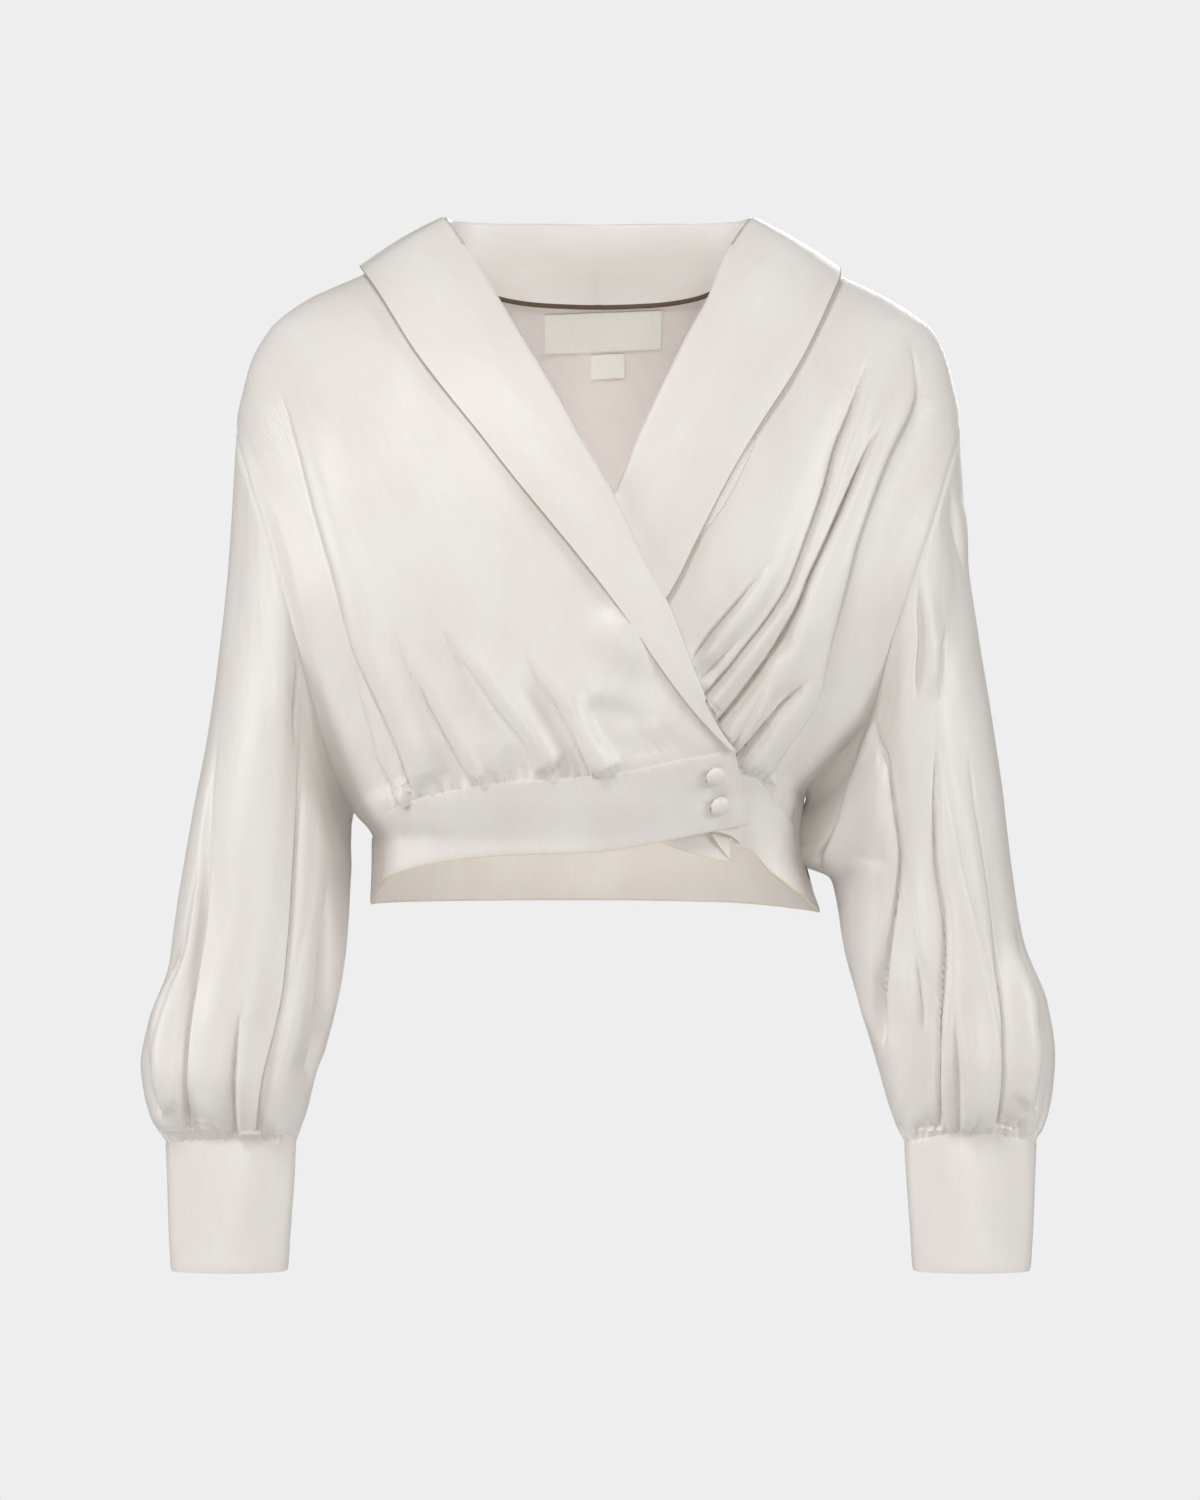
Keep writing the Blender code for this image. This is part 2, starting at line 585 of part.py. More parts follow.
def back():
    band = BAND["back"]
    x_waist = back_columns()
    u = (x_waist - x_waist[0]) / (x_waist[-1] - x_waist[0])
    bottom = np.stack([x_waist, along(band, "x", "top", x_waist)], -1)
    right = side_edge("right")
    left = side_edge("left")
    v = (right[:, 1] - right[0, 1]) / (right[-1, 1] - right[0, 1])
    neck = NECK[5::-1]
    knots = [-row.base_x for row in neck] + [row.base_x for row in neck[-2::-1]]
    heights = [row.base_z for row in neck] + [row.base_z for row in neck[-2::-1]]
    neck_x = np.linspace(knots[0], knots[-1], 120)
    neck_line = np.stack([neck_x, curve(knots, heights, neck_x)], -1)
    neck_count = len(u) - 2 * SHOULDER_STEPS
    top = np.concatenate([
        shoulder_knots("right"), walk(neck_line, np.linspace(0, 1, neck_count))[1:-1],
        shoulder_knots("left")[::-1]])
    grid = blend(bottom, top, right, left, u, v)
    x, z = grid[..., 0], grid[..., 1]
    outside, wall = panel_surface("back", "back", x, z, x_waist, np.zeros_like(x))
    outside = edge_shift(outside)
    for shoulder in (slice(None, SHOULDER_STEPS + 1), slice(-SHOULDER_STEPS - 1, None)):
        outside[-1, shoulder, 1] = SEAM_GAP / 2
        outside[-1, shoulder, 0] = grid[-1, shoulder, 0]
        outside[-1, shoulder, 2] = grid[-1, shoulder, 1]
    flatten_side_seam(outside, "back", 0)
    flatten_side_seam(outside, "back", -1)
    set_armhole_edge("right", "back", outside, wall, 0)
    set_armhole_edge("left", "back", outside, wall, -1)
    cloth("back", outside, outside - wall * CLOTH, "satin")
    return outside, wall


# Bands round the waist

def band(side):
    rows = BAND[side]
    face = "back" if side == "back" else "front"
    name = "band_back" if side == "back" else f"band_front_{side}"
    columns = back_columns() if side == "back" else front_columns(side)
    plain = 4 if side == "back" else 3
    thinned = list(columns[:plain]) + list(columns[plain:-plain][1::2]) + list(columns[-plain:])
    if side != "back":
        thinned[-1] = rows[-1].x
    top_x = np.array(thinned)
    down = np.array([0, 0.5, 1])[:, None]
    x = top_x + (along(rows, "x", "hem_x", top_x) - top_x) * down
    z = along(rows, "x", "top", top_x) * (1 - down) + along(rows, "x", "hem", top_x) * down
    z[0] -= SEAM_GAP / 3
    x[:, 0] = np.sign(x[0, 0]) * side_x(x[:, 0], z[:, 0])
    if side == "back":
        x[:, -1] = side_x(x[:, -1], z[:, -1])
    normal = form_normal(face, x, z)
    if face == "front":
        lift = overlap(x, z) if side == "right" else np.zeros_like(x)
        outside = lifted(x, z, lift)
    else:
        outside = on_form(face, x, z)
    outside = edge_shift(outside + normal * PROUD, last_row=False, last_column=side == "back")
    outside[:, 0, 1] = FACING[face] * SEAM_GAP / 2
    if side == "back":
        outside[:, -1, 1] = SEAM_GAP / 2
    cloth(name, outside, outside - normal * FOLDED_CLOTH, "satin")


# Sleeves and cuffs

def armhole_ring(side):
    """Ring of points on the armhole seam, straight between the panels' corners"""
    turns = armhole_turns()[::-1]
    share = np.arange(ARMHOLE_STEPS * SLEEVE_STEPS_EACH) / SLEEVE_STEPS_EACH
    halves = []
    for face in ("front", "back"):
        frames = armhole_frame(side, face, turns)
        near = share if face == "front" else ARMHOLE_STEPS - share
        halves.append([np.stack([np.interp(near, np.arange(ARMHOLE_STEPS + 1), part[:, k])
                                 for k in range(3)], -1) for part in frames])
    return [np.concatenate([halves[0][k], halves[1][k]]) for k in range(4)]


def sleeve_fold(side, run, turn):
    """Gathers above the cuff, every fourth column, and long folds down the sleeve"""
    count = ARMHOLE_STEPS * SLEEVE_STEPS_EACH * 2
    order = np.round(turn / 360 * count)
    wave = np.cos(2 * math.pi * order * SLEEVE_GATHERS / count)
    uneven = 0.8 + 0.25 * np.sin(order * 0.7)
    rise = SLEEVE_GATHER * wave * uneven * smooth((run - CUFF_GATHER_START) / 0.25)
    for f in SLEEVE_FOLDS[side]:
        t = (run - f.run1) / (f.run2 - f.run1)
        middle = f.turn1 + (f.turn2 - f.turn1) * t
        away = np.abs((turn - middle + 180) % 360 - 180)
        taper = np.where((t > 0) & (t < 1), np.sin(math.pi * np.clip(t, 0, 1)) ** 0.6, 0)
        rise = rise - f.deep * taper * np.exp(-(away / f.wide) ** 2)
    return rise


def sleeve(side):
    count = ARMHOLE_STEPS * SLEEVE_STEPS_EACH * 2
    turn = np.arange(count) * 360 / count
    grid_run, grid_turn = np.meshgrid(np.array(SLEEVE_ROWS), turn, indexing="ij")
    wall = sleeve_normal(side, grid_run, grid_turn)
    outside = sleeve_point(side, grid_run, grid_turn)
    outside = outside + wall * sleeve_fold(side, grid_run, grid_turn)[..., None]
    seam, direction, across, leaving = armhole_ring(side)
    outside[0] = seam + across * SEAM_GAP / 2
    outside[1] = seam + leaving * SLEEVE_START
    wall[0] = direction
    wall[1] = unit(wall[1] + direction)
    wall[-1] = unit(wall[-1] * np.array([1.0, 1.0, 0.0]))
    outside[-1, :, 2] = plain_ring(side, 1.0, turn)[:, 2] + SEAM_GAP / 2
    cloth(f"sleeve_{side}", outside, outside - wall * CLOTH, "satin", ring=True)


def cuff(side):
    c = CUFF[side]
    count = ARMHOLE_STEPS * SLEEVE_STEPS_EACH
    turn = np.arange(count) * math.tau / count
    down = np.array([0.0, 0.5, 1.0])[:, None]
    middle = c.top_x + (c.hem_x - c.top_x) * down
    half = c.top_half + (c.hem_half - c.top_half) * down
    deep = c.deep_top + (c.deep_hem - c.deep_top) * down
    s = np.sin(turn)
    x = middle + HAND[side] * half * np.cos(turn)
    y = CUFF_MIDDLE - np.sign(s) * deep * np.abs(s) ** SLEEVE_FULLNESS
    top = c.top - SEAM_GAP / 2 + c.front_rise * np.clip(s, 0, 1) ** 2
    z = top * (1 - down) + c.hem * down
    outside = np.stack([x, y, np.broadcast_to(z, x.shape)], -1)
    round_it = np.roll(outside, -1, 1) - np.roll(outside, 1, 1)
    wall = -HAND[side] * np.cross(np.array([0.0, 0.0, -1.0]), round_it)
    wall = unit(wall * np.array([1.0, 1.0, 0.0]))
    cloth(f"cuff_{side}", outside, outside - wall * FOLDED_CLOTH, "satin", ring=True)


# Collar

def collar_lines(side, fronts, backs):
    """Seam, roll and edge of the collar from the centre back to the waist"""
    hand = HAND[side]
    lift = overlap if side == "right" else lambda x, z: np.zeros_like(x)
    shoulder = [row._replace(edge_x=e.x, edge_z=e.z) for row, e in zip(NECK[5:], SHOULDER_EDGE[side])]
    rows = []
    for row in list(NECK[:5]) + shoulder[:1]:
        rows.append((hand * row.base_x, row.base_z, hand * row.roll_x, row.roll_y, row.roll_z,
                     hand * row.edge_x, row.edge_z))
    middle = backs[0].shape[1] // 2
    edge, edge_wall = backs[0][-1], backs[1][-1]
    columns = range(middle, SHOULDER_STEPS, -1)
    if side == "left":
        columns = range(middle, backs[0].shape[1] - SHOULDER_STEPS - 1)
    stations = [station("back", rows, edge[i], edge_wall[i]) for i in columns]
    rows = []
    for row in shoulder:
        rows.append((hand * row.base_x, row.base_z, hand * row.roll_x, row.roll_y, row.roll_z,
                     hand * row.edge_x, row.edge_z))
    for r in LAPEL[side]:
        x, z = np.array(r.roll_x, float), np.array(r.roll_z, float)
        y = float(lifted(x, z, lift(x, z) + ROLL_LIFT)[1])
        base_x = r.roll_x + BASE_SHARE * (r.edge_x - r.roll_x)
        base_z = r.roll_z + BASE_SHARE * (r.edge_z - r.roll_z)
        rows.append((base_x, base_z, r.roll_x, y, r.roll_z, r.edge_x, r.edge_z))
    edge, edge_wall = fronts[0][::-1, -1], fronts[1][::-1, -1]
    for i in range(len(edge) - 1):
        parts = 2 if np.linalg.norm(edge[i + 1] - edge[i]) > COLLAR_STEP else 1
        for k in range(parts):
            point = edge[i] + (edge[i + 1] - edge[i]) * k / parts
            wall = edge_wall[i] + (edge_wall[i + 1] - edge_wall[i]) * k / parts
            stations.append(station("front", rows, point, wall))
    stations.append(station("front", rows, edge[-1], edge_wall[-1]))
    return stations, lift


def station(face, rows, seam, wall):
    """One cross-section's seam point and wall, with its roll and edge read from a table"""
    share = share_of(rows, seam[0], seam[2])
    values = [curve(np.arange(len(rows)), [row[k] for row in rows], share) for k in range(2, 7)]
    return seam, wall, face, values


def share_of(rows, x, z):
    """Where along a table's base line a spot of the front view lies"""
    best = (1e9, 0.0)
    for i in range(len(rows) - 1):
        a = np.array(rows[i][:2], float)
        way = np.array(rows[i + 1][:2], float) - a
        t = float(np.clip(np.dot(np.array([x, z]) - a, way) / np.dot(way, way), 0, 1))
        away = float(np.linalg.norm(a + way * t - np.array([x, z])))
        if away < best[0] - 1e-9:
            best = (away, i + t)
    return best[1]


def collar(side, fronts, backs):
    stations, lift = collar_lines(side, fronts, backs)
    grid = []
    first_wall = []
    for seam, wall, face, (rx, ry, rz, ex, ez) in stations:
        roll = np.array([rx, ry, rz], float)
        ex, ez = np.array(ex, float), np.array(ez, float)
        normal = form_normal(face, ex, ez)
        clear = COLLAR_LIFT + SHOULDER_CLEAR * smooth((ez + 65) / 40)
        if face == "front":
            edge = lifted(ex, ez, lift(ex, ez)) + normal * clear
        else:
            edge = on_form(face, ex, ez) + normal * clear
        bend = min(COLLAR_BEND, 0.4 * np.linalg.norm(roll - seam))
        out = unit(wall + normal)
        stand_way = unit(roll - seam)
        clear_way = unit(stand_way - wall * np.dot(stand_way, wall))
        start = seam + clear_way * (NECK_GAP if face == "back" else SEAM_GAP) - wall * CLOTH / 2
        tip = roll - stand_way * bend
        section = [start, start + (tip - start) * 0.5, tip]
        for angle in (45, 90, 135):
            a = math.radians(angle)
            section.append(tip + stand_way * bend * math.sin(a) + out * bend * (1 - math.cos(a)))
        over = tip + out * bend * 2
        for k in np.linspace(0, 1, 4):
            swell = COLLAR_SWELL * math.sin(math.pi * k) * min(1, np.linalg.norm(edge - over) / 40)
            section.append(over + (edge - over) * k + out * swell)
        grid.append(section)
        first_wall.append(wall)
    middle = np.array(grid)
    ahead = np.gradient(middle, axis=0)
    across = np.gradient(middle, axis=1)
    wall = HAND[side] * unit(np.cross(ahead, across))
    sign = np.sign(np.sum(wall[:, 0] * np.array(first_wall), -1))
    wall = wall * np.median(sign)
    wall[:, 0] = np.array(first_wall)
    middle[0, :, 0] = HAND[side] * SEAM_GAP / 2
    wall[0, :, 0] = 0
    wall = unit(wall)
    half = FOLDED_CLOTH / 2
    cloth(f"collar_{side}", middle + wall * half, middle - wall * half, "satin")


# Buttons and label

def button(name, x, z):
    """A low fabric-covered dome that stands on the band at a spot of the front view"""
    sheet = bmesh.new()
    spin = [sheet.verts.new((BUTTON_WIDE / 2 * p.radius, 0, BUTTON_TALL * p.height))
            for p in BUTTON_SHAPE]
    spin.append(sheet.verts.new((0, 0, 0)))
    edges = [sheet.edges.new(pair) for pair in zip(spin[:-1], spin[1:])]
    bmesh.ops.spin(sheet, geom=spin + edges, cent=(0, 0, 0), axis=(0, 0, 1), angle=math.tau,
                   steps=BUTTON_STEPS)
    bmesh.ops.remove_doubles(sheet, verts=sheet.verts, dist=0.001)
    bmesh.ops.recalc_face_normals(sheet, faces=sheet.faces)
    x, z = np.array(x, float), np.array(z, float)
    normal = form_normal("front", x, z)
    foot = lifted(x, z, overlap(x, z)) + normal * (PROUD + SEAM_GAP)
    side_way = unit(np.cross(np.array([0.0, 0.0, 1.0]), normal))
    up = np.cross(normal, side_way)
    for vertex in sheet.verts:
        vertex.co = (foot + side_way * vertex.co.x + up * vertex.co.y + normal * vertex.co.z) * 0.001
    finish(name, sheet, "button_satin")


def label(name, left, right, top, bottom, tilt):
    """A flat label just inside the back, below the neck seam"""
    share = np.linspace(0, 1, 5)
    x = left + (right - left) * share
    z = np.stack([top + tilt * share, bottom + tilt * share])
    x = np.broadcast_to(x, z.shape)
    normal = form_normal("back", x, z)
    outside = on_form("back", x, z) - normal * (CLOTH + LABEL_CLEAR)
    cloth(name, outside, outside - normal * LABEL_CLOTH, "label_cloth")


def main():
    for thing in list(bpy.data.objects):
        bpy.data.objects.remove(thing, do_unlink=True)
    home = bpy.data.collections.new("shawl_collar_blouse")
    bpy.context.scene.collection.children.link(home)
    backs = back()
    for side in ("right", "left"):
        fronts = front(side)
        collar(side, fronts, backs)
        sleeve(side)
        cuff(side)
    for side in BAND:
        band(side)
    button("button_upper", *BUTTON_UPPER)
    button("button_lower", *BUTTON_LOWER)
    label("label_main", -36, 43, -28, -53, 3)
    label("label_size", -5, 18, -54, -70, 1)


main()
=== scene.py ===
# %% [markdown]
# # A shawl collar blouse in ivory satin
# The blouse is cropped and wraps over in front. It has a doubled shawl collar,
# full sleeves gathered into deep cuffs and a waistband with two covered buttons.
# It is filled out as if worn, with nobody in it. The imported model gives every
# piece its place. This lesson makes each piece again as fine cloth.

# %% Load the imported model
import math
from collections import namedtuple

import bpy
import numpy as np
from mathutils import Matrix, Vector


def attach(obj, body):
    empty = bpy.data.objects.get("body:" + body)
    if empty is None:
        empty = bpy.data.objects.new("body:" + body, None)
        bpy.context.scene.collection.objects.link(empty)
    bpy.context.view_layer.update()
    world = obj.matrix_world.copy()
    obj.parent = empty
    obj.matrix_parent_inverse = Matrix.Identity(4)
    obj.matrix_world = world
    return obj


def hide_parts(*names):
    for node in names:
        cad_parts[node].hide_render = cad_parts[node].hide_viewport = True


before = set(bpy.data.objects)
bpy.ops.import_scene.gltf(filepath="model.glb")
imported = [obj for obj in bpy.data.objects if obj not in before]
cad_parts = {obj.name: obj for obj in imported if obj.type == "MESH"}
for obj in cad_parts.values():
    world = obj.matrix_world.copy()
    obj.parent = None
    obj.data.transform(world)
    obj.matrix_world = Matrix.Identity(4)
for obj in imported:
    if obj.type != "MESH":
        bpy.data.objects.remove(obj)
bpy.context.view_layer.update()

# %% [markdown]
# ## The form that the cloth lies on
# A worn blouse is a tube with level sections, each a rounded oval. Short
# tables hold its sizes in millimetres, measured over the cloth: the depth of
# the body, its half width, the armholes, the waistband, the collar, the
# sleeves and the cuffs. X runs to the wearer's left, Y to the back, Z up.
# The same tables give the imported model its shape, so a fine sheet that is
# worked out from them lies where its solid does.

# %% Sizes of the body
Level = namedtuple("Level", "z front back")
FORM = (
    Level(-430, 100, 92), Level(-385, 101, 91), Level(-350, 112, 95), Level(-310, 123, 101),
    Level(-250, 126, 107), Level(-180, 117, 109), Level(-108, 99, 101), Level(-60, 82, 86),
    Level(-35, 69, 73), Level(-18, 57, 62), Level(0, 42, 49), Level(14, 24, 34))
Side = namedtuple("Side", "z x")
SIDE = {
    "right": (
        Side(-425, 150), Side(-380, 149), Side(-364, 161), Side(-352, 168), Side(-327, 176),
        Side(-280, 188), Side(-232, 200), Side(-189, 212), Side(-144, 228), Side(-108, 238),
        Side(-84, 233.5), Side(-65, 228), Side(-45, 216), Side(-35, 205), Side(-25, 190),
        Side(-7, 151), Side(14, 102)),
    "left": (
        Side(-429, 146.5), Side(-388, 134), Side(-353, 137), Side(-340, 146), Side(-322, 161),
        Side(-299, 177), Side(-251, 190), Side(-199, 208), Side(-144, 226.5), Side(-101, 238),
        Side(-84, 235), Side(-65, 230), Side(-45, 220), Side(-35, 208), Side(-25, 192),
        Side(-7, 153), Side(14, 102))}
Armhole = namedtuple("Armhole", "top bottom front back")
ARMHOLE = {"right": Armhole(-108, -364, 76, 70), "left": Armhole(-101, -353, 74, 70)}
Hem = namedtuple("Hem", "x top hem_x hem")
BAND = {
    "right": (
        Hem(-149, -380, -150, -424), Hem(-134, -361, -138, -406), Hem(-107, -351, -111, -396),
        Hem(-62, -343, -64, -390), Hem(1, -338, 1, -387), Hem(65, -326, 70, -375),
        Hem(87, -322, 97, -370)),
    "left": (
        Hem(134, -388, 146.5, -429), Hem(125, -367, 136, -419), Hem(116, -356, 125, -411),
        Hem(104, -343, 110, -399), Hem(92, -334, 96, -386), Hem(45, -334, 45, -382),
        Hem(1, -335, 1, -379), Hem(-82, -330, -84, -377)),
    "back": (
        Hem(-149, -380, -150, -424), Hem(-90, -375, -90, -424), Hem(0, -374, 0, -424),
        Hem(80, -377, 84, -425), Hem(134, -388, 146.5, -429))}
FACING = {"front": -1.0, "back": 1.0}
HAND = {"right": -1.0, "left": 1.0}
ROUND = 2.3
ARMHOLE_ROUND = 0.7
SHOULDER_POINT = 14.0
OVERLAP_LIFT = 8.0
OVERLAP_RISE = 55.0
OVERLAP_TOP = 20.0
OVERLAP_TALL = 190.0
print("form", FORM[0].z, "to", FORM[-1].z, "mm")

# %% Curves through a table
def smooth(t):
    t = np.clip(t, 0, 1)
    return t * t * (3 - 2 * t)


def unit(vectors):
    return vectors / np.maximum(np.linalg.norm(vectors, axis=-1, keepdims=True), 1e-12)


def curve(knots, values, at):
    """Read a smooth curve through the knots that adds no bumps of its own"""
    knots = np.asarray(knots, float)
    values = np.asarray(values, float)
    step = np.diff(knots)
    rise = np.diff(values) / step
    slope = np.zeros_like(values)
    both = rise[:-1] * rise[1:]
    total = np.where(both > 0, rise[:-1] + rise[1:], 1)
    slope[1:-1] = np.where(both > 0, 2 * both / total, 0)
    slope[0] = rise[0]
    slope[-1] = rise[-1]
    at = np.clip(np.asarray(at, float), knots[0], knots[-1])
    i = np.clip(np.searchsorted(knots, at) - 1, 0, len(step) - 1)
    t = (at - knots[i]) / step[i]
    ends = values[i] * (1 + 2 * t) * (1 - t) ** 2 + values[i + 1] * t * t * (3 - 2 * t)
    return ends + step[i] * (slope[i] * t * (1 - t) ** 2 - slope[i + 1] * t * t * (1 - t))


def along(rows, key, column, at):
    ordered = sorted(rows, key=lambda row: getattr(row, key))
    return curve([getattr(r, key) for r in ordered], [getattr(r, column) for r in ordered], at)


def by_order(rows, column, share):
    return curve(np.linspace(0, 1, len(rows)), [getattr(row, column) for row in rows], share)


def walk(points, share):
    """Points at given shares of a line's length"""
    points = np.asarray(points, float)
    steps = np.linalg.norm(np.diff(points, axis=0), axis=1)
    run = np.concatenate([[0], np.cumsum(steps)])
    return np.stack([np.interp(np.asarray(share) * run[-1], run, points[:, k])
                     for k in range(points.shape[1])], -1)


# %% The form as formulas
def side_x(x, z):
    """Half width of the body at a height, on the side where x lies"""
    right = along(SIDE["right"], "z", "x", z)
    return np.where(np.asarray(x) < 0, right, along(SIDE["left"], "z", "x", z))


def seam_depth(side, face, z):
    """How far in front of or behind the side line the armhole seam lies"""
    hole = ARMHOLE[side]
    t = np.clip((z - hole.bottom) / (hole.top - hole.bottom), 0, 1)
    return getattr(hole, face) * np.sin(math.pi * t) ** ARMHOLE_ROUND


def reach(face, x, z):
    """Half width of the oval that passes through the armhole seam at a height"""
    depth = along(FORM, "z", face, z)
    right = np.asarray(x) < 0
    seam = np.where(right, seam_depth("right", face, z), seam_depth("left", face, z))
    return side_x(x, z) / (1 - (seam / depth) ** ROUND) ** (1 / ROUND)


def on_form(face, x, z):
    x, z = np.broadcast_arrays(np.asarray(x, float), np.asarray(z, float))
    depth = along(FORM, "z", face, z)
    share = np.clip(1 - (np.abs(x) / reach(face, x, z)) ** ROUND, 0, 1)
    return np.stack([x, FACING[face] * depth * share ** (1 / ROUND), z], -1)


def form_normal(face, x, z):
    """Outward direction of the form"""
    p = on_form(face, x, z)
    x, y, z = np.abs(p[..., 0]), np.abs(p[..., 1]), p[..., 2]
    wide = reach(face, p[..., 0], z)
    deep = along(FORM, "z", face, z)
    wider = (reach(face, p[..., 0], z + 1) - reach(face, p[..., 0], z - 1)) / 2
    deeper = (along(FORM, "z", face, z + 1) - along(FORM, "z", face, z - 1)) / 2
    across = np.sign(p[..., 0]) * x ** (ROUND - 1) / wide ** ROUND
    out = FACING[face] * y ** (ROUND - 1) / deep ** ROUND
    up = -x ** ROUND / wide ** (ROUND + 1) * wider - y ** ROUND / deep ** (ROUND + 1) * deeper
    return unit(np.stack([across, out, up], -1))


def lifted(x, z, out):
    """The front of the form moved forward, so that its outline in the front view stays"""
    points = on_form("front", x, z)
    squareness = np.maximum(np.abs(form_normal("front", x, z)[..., 1]), 0.5)
    points[..., 1] -= out / squareness
    return points


def overlap(x, z):
    """How far the right front stands off the form, to lie over the left front"""
    from_side = smooth((x + side_x(x, z)) / OVERLAP_RISE)
    return OVERLAP_LIFT * np.where(x < 0, from_side, 1) * smooth((OVERLAP_TOP - z) / OVERLAP_TALL)


def no_overlap(x, z):
    return np.zeros_like(np.asarray(x, float))


print("depth of the chest", float(on_form("front", 0.0, -180.0)[1]), "mm")

# %% [markdown]
# ## Folds
# Satin hangs in long folds. On each one the cloth rolls over a soft ridge and
# drops behind it, which makes one bright line beside one dark line. A fold is
# a path of a few points in the front view, drawn from top to bottom, with the
# height of its ridge, the depth of the drop beside it and how fast both fade.
# Moving the points of a fine grid by this height keeps one closed sheet. A
# simulation would put its folds elsewhere, so they are given one by one.

# %% Heights of the folds
Fold = namedtuple("Fold", "ridge rise wide step fade start end path")
EDGE_SOFTNESS = 1.0
CREASE_WIDE = 1.4
CREASE_SHARE = 1.1
FOLD_STRENGTH = 1.9
FOLD_REACH = 4
PATH_POINTS = 70
PATH_SMOOTHING = 11
RIPPLE_LENGTHS = (150, 110, 75, 50, 36)


def fold_height(folds, x, z):
    """The ridge lies east of the path where its side is 1, and the drop on the other side"""
    total = np.zeros(x.shape)
    for f in folds:
        path = walk(f.path, np.linspace(0, 1, PATH_POINTS))
        kernel = np.hanning(PATH_SMOOTHING) / np.hanning(PATH_SMOOTHING).sum()
        spare = PATH_SMOOTHING // 2
        padded = np.pad(path, ((spare, spare), (0, 0)), mode="reflect", reflect_type="odd")
        path = np.stack([np.convolve(padded[:, k], kernel, "valid") for k in (0, 1)], -1)
        ahead = unit(np.gradient(path, axis=0))
        low = path.min(0) - FOLD_REACH * f.fade
        high = path.max(0) + FOLD_REACH * f.fade
        near = (x > low[0]) & (x < high[0]) & (z > low[1]) & (z < high[1])
        px, pz = x[near][:, None] - path[:, 0], z[near][:, None] - path[:, 1]
        best = np.argmin(px * px + pz * pz, axis=1)
        rows = np.arange(len(best))
        away = f.ridge * (px[rows, best] * -ahead[best, 1] + pz[rows, best] * ahead[best, 0])
        share = best / (len(path) - 1)
        taper = smooth(share / max(f.start, 0.01)) * smooth((1 - share) / max(f.end, 0.01))
        wide = f.wide * (0.55 + 0.45 * taper)
        ridge = f.rise * np.exp(-((away - 0.8 * wide) / wide) ** 2)
        drop = f.step / (1 + np.exp(np.clip(away / EDGE_SOFTNESS, -30, 30)))
        drop = drop * np.exp(-(np.minimum(away, 0) / f.fade) ** 2)
        drop = drop + CREASE_SHARE * f.step * np.exp(-((away + 1.2) / CREASE_WIDE) ** 2)
        beyond = np.hypot(px[rows, best], pz[rows, best]) - np.abs(away)
        total[near] += FOLD_STRENGTH * taper * (ridge - drop) * np.exp(-(beyond / (2 * wide)) ** 2)
    return total


def ripple(x, z, seed, height):
    """Faint unevenness that runs mostly up and down the cloth"""
    draw = np.random.default_rng(seed)
    total = np.zeros(x.shape)
    for length in RIPPLE_LENGTHS:
        lean = draw.uniform(-0.5, 0.5)
        phase = draw.uniform(0, math.tau)
        wave = np.sin(math.tau * (x + lean * z) / length + phase + 0.004 * z)
        total += length / RIPPLE_LENGTHS[0] * wave
    return height * total / 2


# %% [markdown]
# The places of the folds are those that show in the photo, in millimetres. On
# the wearer's right front they run down from the shoulder and lean in to the
# waistband. On the left front they fan out from the crossing of the collar.
# The back is hidden, so it gets five long folds of the same kind.

